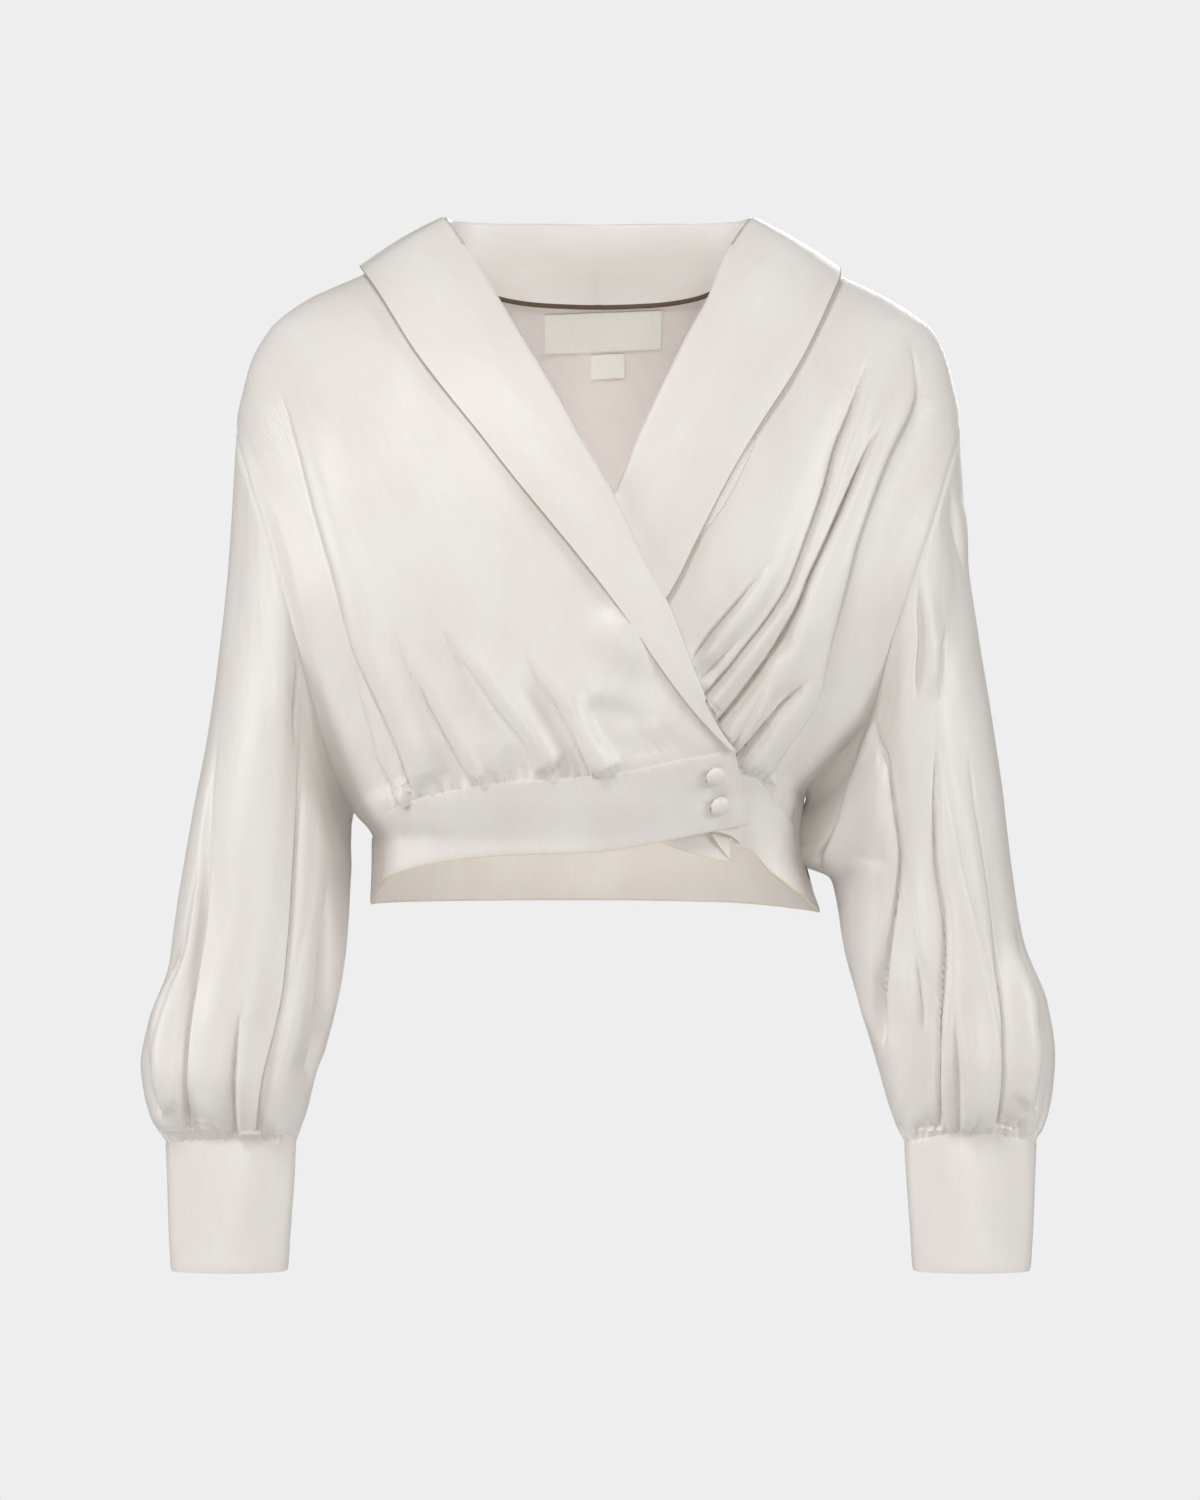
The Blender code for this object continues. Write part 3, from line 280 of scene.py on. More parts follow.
# %% Folds of the three panels
FOLDS = {
    "front_right": (
        Fold(1, 2.4, 12, 4.4, 30, 0.2, 0.05, (
            (-207, -85), (-202, -101), (-193, -131), (-184, -165), (-170, -210), (-159, -256),
            (-141, -293), (-127, -325), (-119, -352))),
        Fold(1, 1.6, 7, 2.6, 11, 0.35, 0.05, (
            (-158, -266), (-156, -291), (-150, -312), (-145, -332), (-127, -362))),
        Fold(1, 1.6, 8, 2.0, 14, 0.6, 0.05, (
            (-131, -240), (-118, -272), (-106, -297), (-95, -318), (-80, -346))),
        Fold(1, 1.6, 9, 2.4, 13, 0.6, 0.05, (
            (-103, -236), (-90, -261), (-78, -277), (-66, -295), (-48, -317), (-41, -341))),
        Fold(1, 2.4, 8, 0, 12, 0.5, 0.05, ((-84, -256), (-70, -280), (-52, -304), (-32, -336))),
        Fold(1, 4.2, 10, 2.4, 15, 0.5, 0.05, (
            (-47, -258), (-34, -282), (-22, -300), (-13, -318), (-3, -341))),
        Fold(1, 4.4, 20, 0, 24, 0.6, 0.5, ((-20, -250), (0, -258), (24, -266), (50, -282))),
        Fold(-1, -6.4, 12, 0, 12, 0.4, 0.55, ((-16, -286), (2, -294), (24, -304), (66, -321))),
        Fold(1, 3.4, 9, 0, 12, 0.5, 0.5, ((4, -312), (24, -318), (52, -330)))),
    "front_left": (
        Fold(1, 2.2, 8, 2.4, 10, 0.5, 0.2, (
            (114, -196), (109, -205), (92, -227), (75, -247), (58, -271))),
        Fold(1, 1.2, 5, 1.4, 7, 0.5, 0.2, ((94, -247), (80, -264), (62, -284))),
        Fold(1, 2.2, 7, 3.2, 13, 0.35, 0.02, (
            (182, -50), (176, -68), (166, -101), (155, -128), (148, -156), (137, -186),
            (125, -218), (109, -242), (92, -263), (66, -294))),
        Fold(1, 2.4, 9, 4.6, 11, 0.35, 0.02, (
            (192, -96), (182, -113), (174, -130), (159, -165), (148, -190), (137, -213),
            (131, -231), (118, -255), (100, -281), (74, -314))),
        Fold(1, -3.6, 3.4, 0, 4, 0.5, 0.5, ((126, -232), (119, -250), (110, -270))),
        Fold(1, 1.2, 4, 0.8, 5, 0.5, 0.1, ((112, -273), (101, -295), (86, -322))),
        Fold(1, 2.2, 6, 3.2, 8, 0.35, 0.02, (
            (136, -276), (128, -285), (112, -304), (90, -332))),
        Fold(-1, 2.6, 12, 4.0, 22, 0.25, 0.02, (
            (201, -50), (207, -75), (208, -89), (203, -105), (190, -128), (178, -156),
            (167, -186), (157, -227), (149, -257), (144, -286), (139, -299), (125, -317),
            (110, -343)))),
    "back": (
        Fold(1, 2.0, 12, 3.0, 20, 0.5, 0.05, ((-176, -150), (-150, -240), (-132, -310), (-122, -376))),
        Fold(-1, 1.8, 10, 2.6, 16, 0.5, 0.05, ((-96, -214), (-84, -280), (-76, -330), (-72, -376))),
        Fold(1, 1.6, 11, 2.4, 16, 0.5, 0.05, ((-22, -246), (-14, -300), (-12, -340), (-10, -376))),
        Fold(-1, 1.8, 9, 2.6, 15, 0.5, 0.05, ((66, -200), (62, -270), (52, -320), (46, -376))),
        Fold(-1, 2.0, 12, 3.0, 20, 0.5, 0.05, ((172, -140), (148, -230), (128, -310), (112, -380))))}
Gathers = namedtuple("Gathers", "start end count lean seed")
GATHERS = {
    "front_right": Gathers(-141, 2, 26, -0.5, 5), "front_left": Gathers(125, 90, 8, 0.7, 8),
    "back": Gathers(-128, 120, 40, 0.0, 13)}
WAIST = {"front_right": "right", "front_left": "left", "back": "back"}


def gather_folds(name):
    """Small puckers at the waistband's seam, uneven in length, height and place"""
    g = GATHERS[name]
    draw = np.random.default_rng(g.seed)
    made = []
    for k in range(g.count):
        x = g.start + (g.end - g.start) * (k + draw.uniform(-0.35, 0.35)) / (g.count - 1)
        z = float(along(BAND[WAIST[name]], "x", "top", x))
        long = draw.uniform(7, 17) + (draw.uniform(8, 26) if draw.uniform() < 0.3 else 0)
        lean = (g.lean if g.lean else -x / 240) + draw.uniform(-0.25, 0.25)
        size = draw.uniform(0.7, 1.3) + long / 50
        if draw.uniform() < 0.6:
            size = -size
        top = (x + lean * long, z + long)
        middle = (x + lean * long * 0.3, z + long * 0.5)
        path = (top, middle, (x, z - 5))
        wide = draw.uniform(1.7, 2.6) if size > 0 else draw.uniform(1.1, 1.6)
        made.append(Fold(1, size, wide, 0, 3, 0.9, 0.01, path))
    return tuple(made)


for panel in GATHERS:
    FOLDS[panel] = FOLDS[panel] + gather_folds(panel)
    print(panel, "folds and gathers", len(FOLDS[panel]))

# %% Relief of a panel
# Lowest and highest cloth of each panel, and the tighter limits where the fronts overlap
LIMITS = {"front_right": (-10.0, 13.0), "front_left": (-14.0, 6.0), "back": (-10.0, 8.0)}
COVERED_HIGH = 3.0
COVERED_TO = 50.0
COVERED_FADE = 40.0
COVERING_LOW = -3.4
COVERING_FROM = -80.0
COVERING_FADE = 25.0
RIPPLE_HIGH = 0.7


def relief(name, x, z):
    """Height of a panel's cloth over the form, eased off before it meets another layer"""
    low, high = LIMITS[name]
    if name == "front_left":
        high = COVERED_HIGH + (high - COVERED_HIGH) * smooth((x - COVERED_TO) / COVERED_FADE)
    if name == "front_right":
        low = COVERING_LOW + (low - COVERING_LOW) * smooth((COVERING_FROM - x) / COVERING_FADE)
    height = fold_height(FOLDS[name], x, z) + ripple(x, z, len(name), RIPPLE_HIGH)
    return np.where(height < 0, low * np.tanh(height / low), high * np.tanh(height / high))


print("relief of the right front", LIMITS["front_right"], "mm")

# %% [markdown]
# ## Satin
# Satin is woven with long floating threads on its face, which is why it
# shines along one direction, and its wrong side is dull. The face is a
# Principled shader with a soft, stretched highlight that follows the piece's
# UV map. Fine threads, small pebbles and slow changes of tone come from noise
# on the same map, which is in metres, so they have their real size.

# %% Patterns on the cloth
# Repeats to the metre across the warp, and how far each one is drawn out along it
Pattern = namedtuple("Pattern", "scale stretch detail")
TONE = Pattern(26, 3.0, 3)
SLUB = Pattern(1100, 22, 2)
GLOSS = Pattern(500, 8, 2)
PEBBLE = Pattern(1500, 1.6, 3)
CRINKLE = Pattern(60, 2.2, 2)
CRINKLE_HEIGHT = 0.0009
SLUB_SHADE = 0.035
GLOSS_SPREAD = 0.05


def noise_on_cloth(tree, pattern):
    place = tree.nodes.new("ShaderNodeUVMap")
    place.uv_map = "cloth"
    size = tree.nodes.new("ShaderNodeMapping")
    size.inputs["Scale"].default_value = (pattern.scale, pattern.scale / pattern.stretch, 1)
    tree.links.new(place.outputs["UV"], size.inputs["Vector"])
    noise = tree.nodes.new("ShaderNodeTexNoise")
    noise.noise_dimensions = "2D"
    noise.inputs["Scale"].default_value = 1
    noise.inputs["Detail"].default_value = pattern.detail
    tree.links.new(size.outputs["Vector"], noise.inputs["Vector"])
    return noise.outputs["Fac"]


def between(tree, pattern, ends, low, high):
    """Noise stretched from or to a low and a high value"""
    node = tree.nodes.new("ShaderNodeMapRange")
    node.inputs[f"{ends} Min"].default_value = low
    node.inputs[f"{ends} Max"].default_value = high
    tree.links.new(noise_on_cloth(tree, pattern), node.inputs["Value"])
    return node.outputs["Result"]


def bump(tree, pattern, strength, height):
    node = tree.nodes.new("ShaderNodeBump")
    node.inputs["Strength"].default_value = strength
    node.inputs["Distance"].default_value = height
    tree.links.new(noise_on_cloth(tree, pattern), node.inputs["Height"])
    return node


print("patterns on the cloth", len((TONE, SLUB, GLOSS, PEBBLE, CRINKLE)))

# %% Cloth materials
def cloth_material(name, color, shade, roughness, sheen, thread_height, shine=0.0):
    made = bpy.data.materials.new(name)
    made.use_nodes = True
    tree = made.node_tree
    shader = tree.nodes["Principled BSDF"]
    shader.inputs["Sheen Weight"].default_value = sheen
    shader.inputs["Sheen Roughness"].default_value = 0.45
    shader.inputs["Specular IOR Level"].default_value = 0.4
    shader.inputs["Anisotropic"].default_value = shine
    tangent = tree.nodes.new("ShaderNodeTangent")
    tangent.direction_type = "UV_MAP"
    tangent.uv_map = "cloth"
    tree.links.new(tangent.outputs["Tangent"], shader.inputs["Tangent"])
    mix = tree.nodes.new("ShaderNodeMix")
    mix.data_type = "RGBA"
    mix.inputs["A"].default_value = (*shade, 1)
    mix.inputs["B"].default_value = (*color, 1)
    tree.links.new(between(tree, TONE, "From", 0.3, 0.7), mix.inputs["Factor"])
    tint = tree.nodes.new("ShaderNodeVectorMath")
    tint.operation = "SCALE"
    tree.links.new(mix.outputs["Result"], tint.inputs[0])
    threads = between(tree, SLUB, "To", 1 - SLUB_SHADE, 1 + SLUB_SHADE)
    tree.links.new(threads, tint.inputs["Scale"])
    tree.links.new(tint.outputs["Vector"], shader.inputs["Base Color"])
    gloss = between(tree, GLOSS, "To", roughness - GLOSS_SPREAD, roughness + GLOSS_SPREAD)
    tree.links.new(gloss, shader.inputs["Roughness"])
    pebble = bump(tree, PEBBLE, 0.5, thread_height)
    crinkle = bump(tree, CRINKLE, 0.4, CRINKLE_HEIGHT)
    tree.links.new(pebble.outputs["Normal"], crinkle.inputs["Normal"])
    tree.links.new(crinkle.outputs["Normal"], shader.inputs["Normal"])
    return made


SATIN = cloth_material("satin", (0.84, 0.815, 0.785), (0.80, 0.765, 0.725), 0.40, 0.08, 0.00012, 0.35)
WRONG_SIDE = cloth_material("wrong_side", (0.84, 0.80, 0.775), (0.80, 0.755, 0.73), 0.6, 0.2, 0.0002)
COVERED = cloth_material("button_satin", (0.83, 0.80, 0.76), (0.81, 0.775, 0.73), 0.4, 0.12, 0.0001, 0.3)
RIBBON = cloth_material("label_cloth", (0.90, 0.91, 0.85), (0.86, 0.87, 0.80), 0.6, 0.2, 0.0003)
THREAD = cloth_material("thread", (0.80, 0.75, 0.66), (0.74, 0.69, 0.60), 0.5, 0.2, 0.0001)
# Painted shade: the dark tan strip along the collar's free edge stands for the shade where it turns
COLLAR_EDGE_SHADE = cloth_material("collar_edge_shade", (0.50, 0.40, 0.30), (0.45, 0.35, 0.26), 0.6, 0.1, 0.0001)
# Painted shade: a very dark brown for the line of shade at the back neck seam
NECK_SHADE = cloth_material("neck_shade_strip", (0.13, 0.085, 0.055), (0.10, 0.065, 0.04), 0.6, 0.1, 0.0001)
# Painted shade: the buttonholes' thread is darkened to stand for the shade in their slots
HOLE_SHADE_THREAD = cloth_material("hole_thread_shade", (0.48, 0.39, 0.30), (0.42, 0.34, 0.26), 0.6, 0.1, 0.0001)
# Painted shade: a darker tan for the folded lower edge of the waistband and its loop
BAND_EDGE_SHADE = cloth_material("band_edge_shade", (0.80, 0.72, 0.56), (0.76, 0.68, 0.52), 0.5, 0.2, 0.0001)
print("materials", len(bpy.data.materials))

# %% [markdown]
# ## From a grid of points to a sheet of cloth
# Every panel starts as Blender's own grid, the flat cloth on the cutting
# table. Its points are then placed by the form and the folds, its map gets
# the lengths of real cloth, and Solidify gives it a thickness towards the
# inside, with the wrong side's own material. A sleeve is the same grid closed
# into a tube.

# %% Helpers for a sheet
PANEL_CLOTH = 0.8
DOUBLED_CLOTH = 1.6
MM = 0.001
WELD = 0.00001
SHARP_TURN = 50


def only(thing):
    bpy.ops.object.select_all(action="DESELECT")
    thing.select_set(True)
    bpy.context.view_layer.objects.active = thing


def lengths(points, axis):
    """How far along the cloth each point of a grid lies"""
    steps = np.linalg.norm(np.diff(points, axis=axis), axis=-1)
    start = np.zeros_like(np.take(steps, [0], axis))
    return np.concatenate([start, np.cumsum(steps, axis=axis)], axis)


def sheet_of(name, points, outward, thick, face=None, inside=None, node=None,
             ring=False, edge_shade=None):
    """A closed sheet from rows and columns of points on its outside, in millimetres"""
    if ring:
        points = np.concatenate([points, points[:, :1]], 1)
        outward = np.concatenate([outward, outward[:, :1]], 1)
    rows, columns = points.shape[:2]
    bpy.ops.object.select_all(action="DESELECT")
    bpy.ops.mesh.primitive_grid_add(x_subdivisions=columns - 1, y_subdivisions=rows - 1, size=1)
    piece = bpy.context.active_object
    piece.name = name
    mesh = piece.data
    mesh.name = name
    mesh.vertices.foreach_set("co", (points * MM).astype(np.float32).ravel())
    mesh.uv_layers[0].name = "cloth"
    spot = np.stack([lengths(points, 1), lengths(points, 0)], -1).reshape(-1, 2) * MM
    corner = np.zeros(len(mesh.loops), np.int32)
    mesh.loops.foreach_get("vertex_index", corner)
    mesh.uv_layers[0].data.foreach_set("uv", spot[corner].astype(np.float32).ravel())
    across = np.cross(points[1:, :-1] - points[:-1, :-1], points[:-1, 1:] - points[:-1, :-1])
    turned = np.sum(across * outward[:-1, :-1]) > 0
    bpy.ops.object.mode_set(mode="EDIT")
    bpy.ops.mesh.select_all(action="SELECT")
    if ring:
        bpy.ops.mesh.remove_doubles(threshold=WELD)
    if turned:
        bpy.ops.mesh.flip_normals()
    bpy.ops.object.mode_set(mode="OBJECT")
    mesh.materials.append(face or SATIN)
    mesh.materials.append(inside or face or WRONG_SIDE)
    wall = piece.modifiers.new("wall", "SOLIDIFY")
    wall.thickness = thick * MM
    wall.offset = -1
    wall.material_offset = 1
    # The last row or column gets a darker colour, painted shade along a folded edge
    if edge_shade:
        mesh.materials.append(BAND_EDGE_SHADE if edge_shade == "row" else COLLAR_EDGE_SHADE)
        kinds = np.zeros((rows - 1, columns - 1), np.int32)
        if edge_shade == "row":
            kinds[-1] = 2
        else:
            kinds[:, -1] = 2
        mesh.polygons.foreach_set("material_index", kinds.ravel())
    bpy.ops.object.modifier_apply(modifier=wall.name)
    bpy.ops.object.shade_smooth_by_angle(angle=math.radians(SHARP_TURN))
    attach(piece, "root")
    if node:
        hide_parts(node)
    count = sum(len(p.vertices) - 2 for p in mesh.polygons)
    print(name, "triangles", count, "size mm", [round(c * 1000) for c in piece.dimensions])
    return piece


# %% [markdown]
# ## Fronts and back
# A maker cuts one back and two fronts. Each is drawn in the front view as a
# patch between four edges: the waist seam, the shoulder seam, the side with
# the armhole, and the neck edge. The patch is then laid on the form. The
# seam lines sink in a little, because stitches pull the cloth down. The last
# row of each gathered edge is tucked under the band, so no light shows there.

# %% Edges of a panel
Neck = namedtuple("Neck", "face base_x base_z roll_x roll_y roll_z edge_x edge_z")
NECK = (
    Neck("back", 0, -22, 0, 60, 30, 0, -40), Neck("back", 35, -21, 37, 57, 30, 52, -39),
    Neck("back", 66, -17, 66, 51, 29.5, 98, -33), Neck("back", 90, -5, 88, 38, 29, 132, -20),
    Neck("back", 100, 7, 98, 22, 28.5, 150, -9), Neck("front", 102, 14, 101, 0, 28, 156, -6),
    Neck("front", 101.5, 11, 100, -17, 26, 152, -13), Neck("front", 98, -7.5, 84, -43, 2, 140, -31))
ShoulderEdge = namedtuple("ShoulderEdge", "x z")
SHOULDER_EDGE = {
    "right": (ShoulderEdge(156, -6), ShoulderEdge(152, -13), ShoulderEdge(140, -31)),
    "left": (ShoulderEdge(158, -7), ShoulderEdge(157, -16), ShoulderEdge(150, -33))}
Lapel = namedtuple("Lapel", "roll_x roll_z edge_x edge_z")
LAPEL = {
    "right": (
        Lapel(-62, -35, -118, -66), Lapel(-45, -64, -97, -94), Lapel(-28, -93, -77, -119),
        Lapel(-10, -126, -53, -150), Lapel(9, -159, -30, -178), Lapel(27, -198, -4, -210),
        Lapel(44, -230, 18, -239), Lapel(60, -271, 43, -275), Lapel(68, -290, 56, -292),
        Lapel(77, -308, 68, -306), Lapel(87, -321.5, 80, -318)),
    "left": (
        Lapel(71, -31, 133, -68), Lapel(58, -55, 120, -90), Lapel(47, -78, 108, -108),
        Lapel(28.5, -117, 87, -143), Lapel(11, -160, 65.5, -184), Lapel(-8, -201, 44, -226),
        Lapel(-34, -252, 8, -268), Lapel(-62, -303, -38, -307), Lapel(-82, -329, -74, -325))}
BASE_SHARE = 0.28
PANEL_COLUMNS = 190
PANEL_ROWS = 190
SIDE_SEAM_ROWS = 8
BACK_COLUMNS = 180
SHOULDER_COLUMNS = 50


def blend(bottom, top, start, end, u, v):
    """A grid of points between four edges, each given as a row of points"""
    u = u[None, :, None]
    v = v[:, None, None]
    corners = ((1 - u) * (1 - v) * start[0] + u * (1 - v) * end[0]
               + (1 - u) * v * start[-1] + u * v * end[-1])
    edges = (1 - v) * bottom[None] + v * top[None] + (1 - u) * start[:, None] + u * end[:, None]
    return edges - corners


def side_edge(side, rows):
    """Side seam and armhole seen from the front, closer rows where the seam turns"""
    hole = ARMHOLE[side]
    waist = BAND[side][0].top
    below = np.linspace(waist, hole.bottom, SIDE_SEAM_ROWS + 1)[:-1]
    turn = np.linspace(math.pi, 0, rows - SIDE_SEAM_ROWS)
    z = np.concatenate([below, hole.top + (hole.bottom - hole.top) * (1 - np.cos(turn)) / 2])
    return np.stack([HAND[side] * along(SIDE[side], "z", "x", z), z], -1)


def shoulder_line(side):
    z = np.linspace(ARMHOLE[side].top, SHOULDER_POINT, 120)
    return np.stack([HAND[side] * along(SIDE[side], "z", "x", z), z], -1)


def base_line(side):
    """Neck edge of a front, from the shoulder down to the waist"""
    points = [(HAND[side] * row.base_x, row.base_z) for row in NECK if row.face == "front"]
    for row in LAPEL[side]:
        points.append((row.roll_x + BASE_SHARE * (row.edge_x - row.roll_x),
                       row.roll_z + BASE_SHARE * (row.edge_z - row.roll_z)))
    return np.array(points, float)


def seam_dip(points, edges, depth=0.5, wide=2.2):
    """Cloth sinks towards the named edges of a grid, where it is sewn down"""
    across = lengths(points, 1)
    up = lengths(points, 0)
    away = {"first": across, "last": across[:, -1:] - across, "bottom": up, "top": up[-1:] - up}
    total = np.zeros(points.shape[:2])
    for edge in edges:
        total = np.maximum(total, depth * np.exp(-(away[edge] / wide) ** 2))
    return total


# %% The two fronts and the back
TUCK = 2.4
TUCK_DEPTH = 1.0
SEAM_UNDER = 1.6
SEAM_EASE = 14.0
WAIST_EASE = 7.0
NECK_FLAT = 3.0
COLLAR_COVER = 30.0


def tucked(points, normal, row):
    """A row of gathered edge caught inside the band or cuff below it"""
    points[row] = points[row] - normal[row] * TUCK_DEPTH
    points[row, :, 2] -= TUCK
    return points


def front(side):
    name = f"front_{side}"
    band = BAND[side]
    u = np.linspace(0, 1, PANEL_COLUMNS)
    inner_line = base_line(side)
    x_waist = band[0].x + (inner_line[-1][0] - band[0].x) * u
    bottom = np.stack([x_waist, along(band, "x", "top", x_waist)], -1)
    outer = side_edge(side, PANEL_ROWS)
    v = (outer[:, 1] - outer[0, 1]) / (outer[-1, 1] - outer[0, 1])
    inner = walk(inner_line[::-1], v)
    inner[0] = bottom[-1]
    grid = blend(bottom, walk(shoulder_line(side), u), outer, inner, u, v)
    x, z = grid[..., 0], grid[..., 1]
    lift = overlap(x, z) if side == "right" else no_overlap(x, z)
    placed = lifted(x, z, lift)
    normal = form_normal("front", x, z)
    across, up = lengths(placed, 1), lengths(placed, 0)
    edge = smooth(across / SEAM_EASE) * smooth((up[-1] - up) / SEAM_EASE)
    edge = edge * (0.75 + 0.25 * smooth(up / WAIST_EASE))
    edge = edge * smooth((across[:, -1:] - across - NECK_FLAT) / COLLAR_COVER)
    height = relief(name, x, z) * edge - seam_dip(placed, ("first", "top", "bottom"))
    outside = tucked(placed + normal * height[..., None], normal, 0)
    outside[-1] += np.array([0, SEAM_UNDER, 0]) - normal[-1] * TUCK_DEPTH
    piece = sheet_of(name, outside, normal, PANEL_CLOTH, node=name)
    return piece, outside, normal


def back():
    band = BAND["back"]
    u = np.linspace(0, 1, BACK_COLUMNS)
    x_waist = band[0].x + (band[-1].x - band[0].x) * u
    bottom = np.stack([x_waist, along(band, "x", "top", x_waist)], -1)
    right, left = side_edge("right", PANEL_ROWS), side_edge("left", PANEL_ROWS)
    v = (right[:, 1] - right[0, 1]) / (right[-1, 1] - right[0, 1])
    neck = NECK[5::-1]
    knots = [-row.base_x for row in neck] + [row.base_x for row in neck[-2::-1]]
    heights = [row.base_z for row in neck] + [row.base_z for row in neck[-2::-1]]
    neck_x = np.linspace(knots[0], knots[-1], 120)
    neck_line = np.stack([neck_x, curve(knots, heights, neck_x)], -1)
    shoulder = np.linspace(0, 1, SHOULDER_COLUMNS)
    middle = np.linspace(0, 1, BACK_COLUMNS - 2 * SHOULDER_COLUMNS + 2)
    top = np.concatenate([walk(shoulder_line("right"), shoulder), walk(neck_line, middle)[1:-1],
                          walk(shoulder_line("left"), shoulder)[::-1]])
    grid = blend(bottom, top, right, left, u, v)
    x, z = grid[..., 0], grid[..., 1]
    placed = on_form("back", x, z)
    normal = form_normal("back", x, z)
    across, up = lengths(placed, 1), lengths(placed, 0)
    edge = smooth(across / SEAM_EASE) * smooth((across[:, -1:] - across) / SEAM_EASE)
    edge = edge * smooth((up[-1] - up) / SEAM_EASE)
    height = relief("back", x, z) * edge - seam_dip(placed, ("first", "last", "top", "bottom"))
    outside = tucked(placed + normal * height[..., None], normal, 0)
    piece = sheet_of("back", outside, normal, PANEL_CLOTH, node="back")
    return piece, outside, normal


pieces = {}
pieces["back"], back_points, back_out = back()
pieces["front_right"], right_points, right_out = front("right")
pieces["front_left"], left_points, left_out = front("left")

# %% [markdown]
# ## Sleeves
# A full sleeve is a wide tube. The maker sews it to the armhole, gathers its
# lower end and sets it into a narrow cuff, so the spare cloth puffs out and
# hangs over the cuff in folds. Here the tube is a family of rings that swing
# down from the armhole to the cuff. Long folds are placed as they show, and
# gathers spread upwards from the cuff. The far sides are hidden in the photo,
# so they get softer folds of the same kind. Below the armhole the left sleeve
# hangs in towards the body, which closes the gap beside it.

# %% Rings of a sleeve
Ring = namedtuple("Ring", "outer_x outer_z inner_x inner_z front back middle")
SLEEVE = {
    "right": (
        Ring(238, -108, 161, -364, 76, 70, 0), Ring(243, -193, 163.5, -374, 78, 71, 0),
        Ring(249, -255, 164, -386, 78, 70, -1), Ring(257, -312, 163.5, -402, 75, 67, -2),
        Ring(266, -362, 164, -424, 71, 62, -3), Ring(273, -410, 166, -451, 67, 58, -4),
        Ring(281, -460, 170.5, -481, 64, 55, -5), Ring(296, -500, 179, -512, 62, 54, -6),
        Ring(301, -528, 186.5, -538, 60, 52, -7), Ring(298, -549, 191, -556, 53, 46, -8),
        Ring(291, -566, 195.5, -569, 42, 37, -9), Ring(284, -579, 199, -579, 27, 27, -10)),
    "left": (
        Ring(238, -101, 137, -353, 74, 70, 0), Ring(243, -190, 140.5, -370, 77, 71, 0),
        Ring(250, -243, 142.5, -388, 77, 70, -1), Ring(258, -293, 149, -399, 75, 67, -2),
        Ring(266, -346, 154, -408, 71, 62, -3), Ring(272, -396, 157.5, -423, 67, 58, -4),
        Ring(280, -446, 162, -452, 64, 55, -5), Ring(296, -488, 171, -485, 62, 54, -6),
        Ring(301, -522, 181, -519, 60, 52, -7), Ring(299, -546, 189, -546, 53, 46, -8),
        Ring(294, -565, 196, -566, 42, 37, -9), Ring(288, -579, 202, -579, 27, 27, -10))}
Cuff = namedtuple("Cuff", "top_x top_half hem_x hem_half top hem deep_top deep_hem front_rise")
CUFF = {
    "right": Cuff(-241.5, 42.5, -242.4, 38, -579, -664, 27, 25, 4),
    "left": Cuff(245, 43, 245.6, 38.3, -579, -664, 27, 25, 8)}
CUFF_MIDDLE = -10
SLEEVE_FULLNESS = 0.86
SLEEVE_SWING = 0.3


def seam_point(side, face, turn):
    """A point of the armhole seam, turn 0 at the shoulder and 180 at the underarm"""
    hole = ARMHOLE[side]
    z = hole.top + (hole.bottom - hole.top) * (1 - np.cos(np.radians(turn))) / 2
    x = HAND[side] * along(SIDE[side], "z", "x", z)
    return np.stack([x, FACING[face] * seam_depth(side, face, z), z], -1)


def plain_ring(side, run, turn):
    rows = SLEEVE[side]
    run, turn = np.broadcast_arrays(np.asarray(run, float), np.asarray(turn, float))
    c = np.cos(np.radians(turn))
    s = np.sin(np.radians(turn))
    read = {name: by_order(rows, name, run) for name in Ring._fields}
    near = (1 + c) / 2
    x = read["outer_x"] * near + read["inner_x"] * (1 - near)
    z = read["outer_z"] * near + read["inner_z"] * (1 - near)
    depth = np.where(s > 0, read["front"], read["back"])
    y = read["middle"] - np.sign(s) * depth * np.abs(s) ** SLEEVE_FULLNESS
    rise = CUFF[side].front_rise * np.clip(s, 0, 1) ** 2 * smooth((run - 0.6) / 0.4)
    return np.stack([HAND[side] * x, y, z + rise], -1)


def sleeve_point(side, run, turn):
    """The sleeve's outside: run 0 at the armhole, 1 at the cuff"""
    run, turn = np.broadcast_arrays(np.asarray(run, float), np.asarray(turn, float))
    front_seam = seam_point(side, "front", turn)
    back_seam = seam_point(side, "back", turn)
    seam = np.where((turn % 360 <= 180)[..., None], front_seam, back_seam)
    start = seam - plain_ring(side, np.zeros_like(run), turn)
    return plain_ring(side, run, turn) + start * (1 - smooth(run / SLEEVE_SWING))[..., None]


def sleeve_normal(side, run, turn):
    further = sleeve_point(side, np.clip(run + 0.01, 0, 1), turn)
    ahead = further - sleeve_point(side, np.clip(run - 0.01, 0, 1), turn)
    round_it = sleeve_point(side, run, turn + 1.5) - sleeve_point(side, run, turn - 1.5)
    return -HAND[side] * unit(np.cross(ahead, round_it))


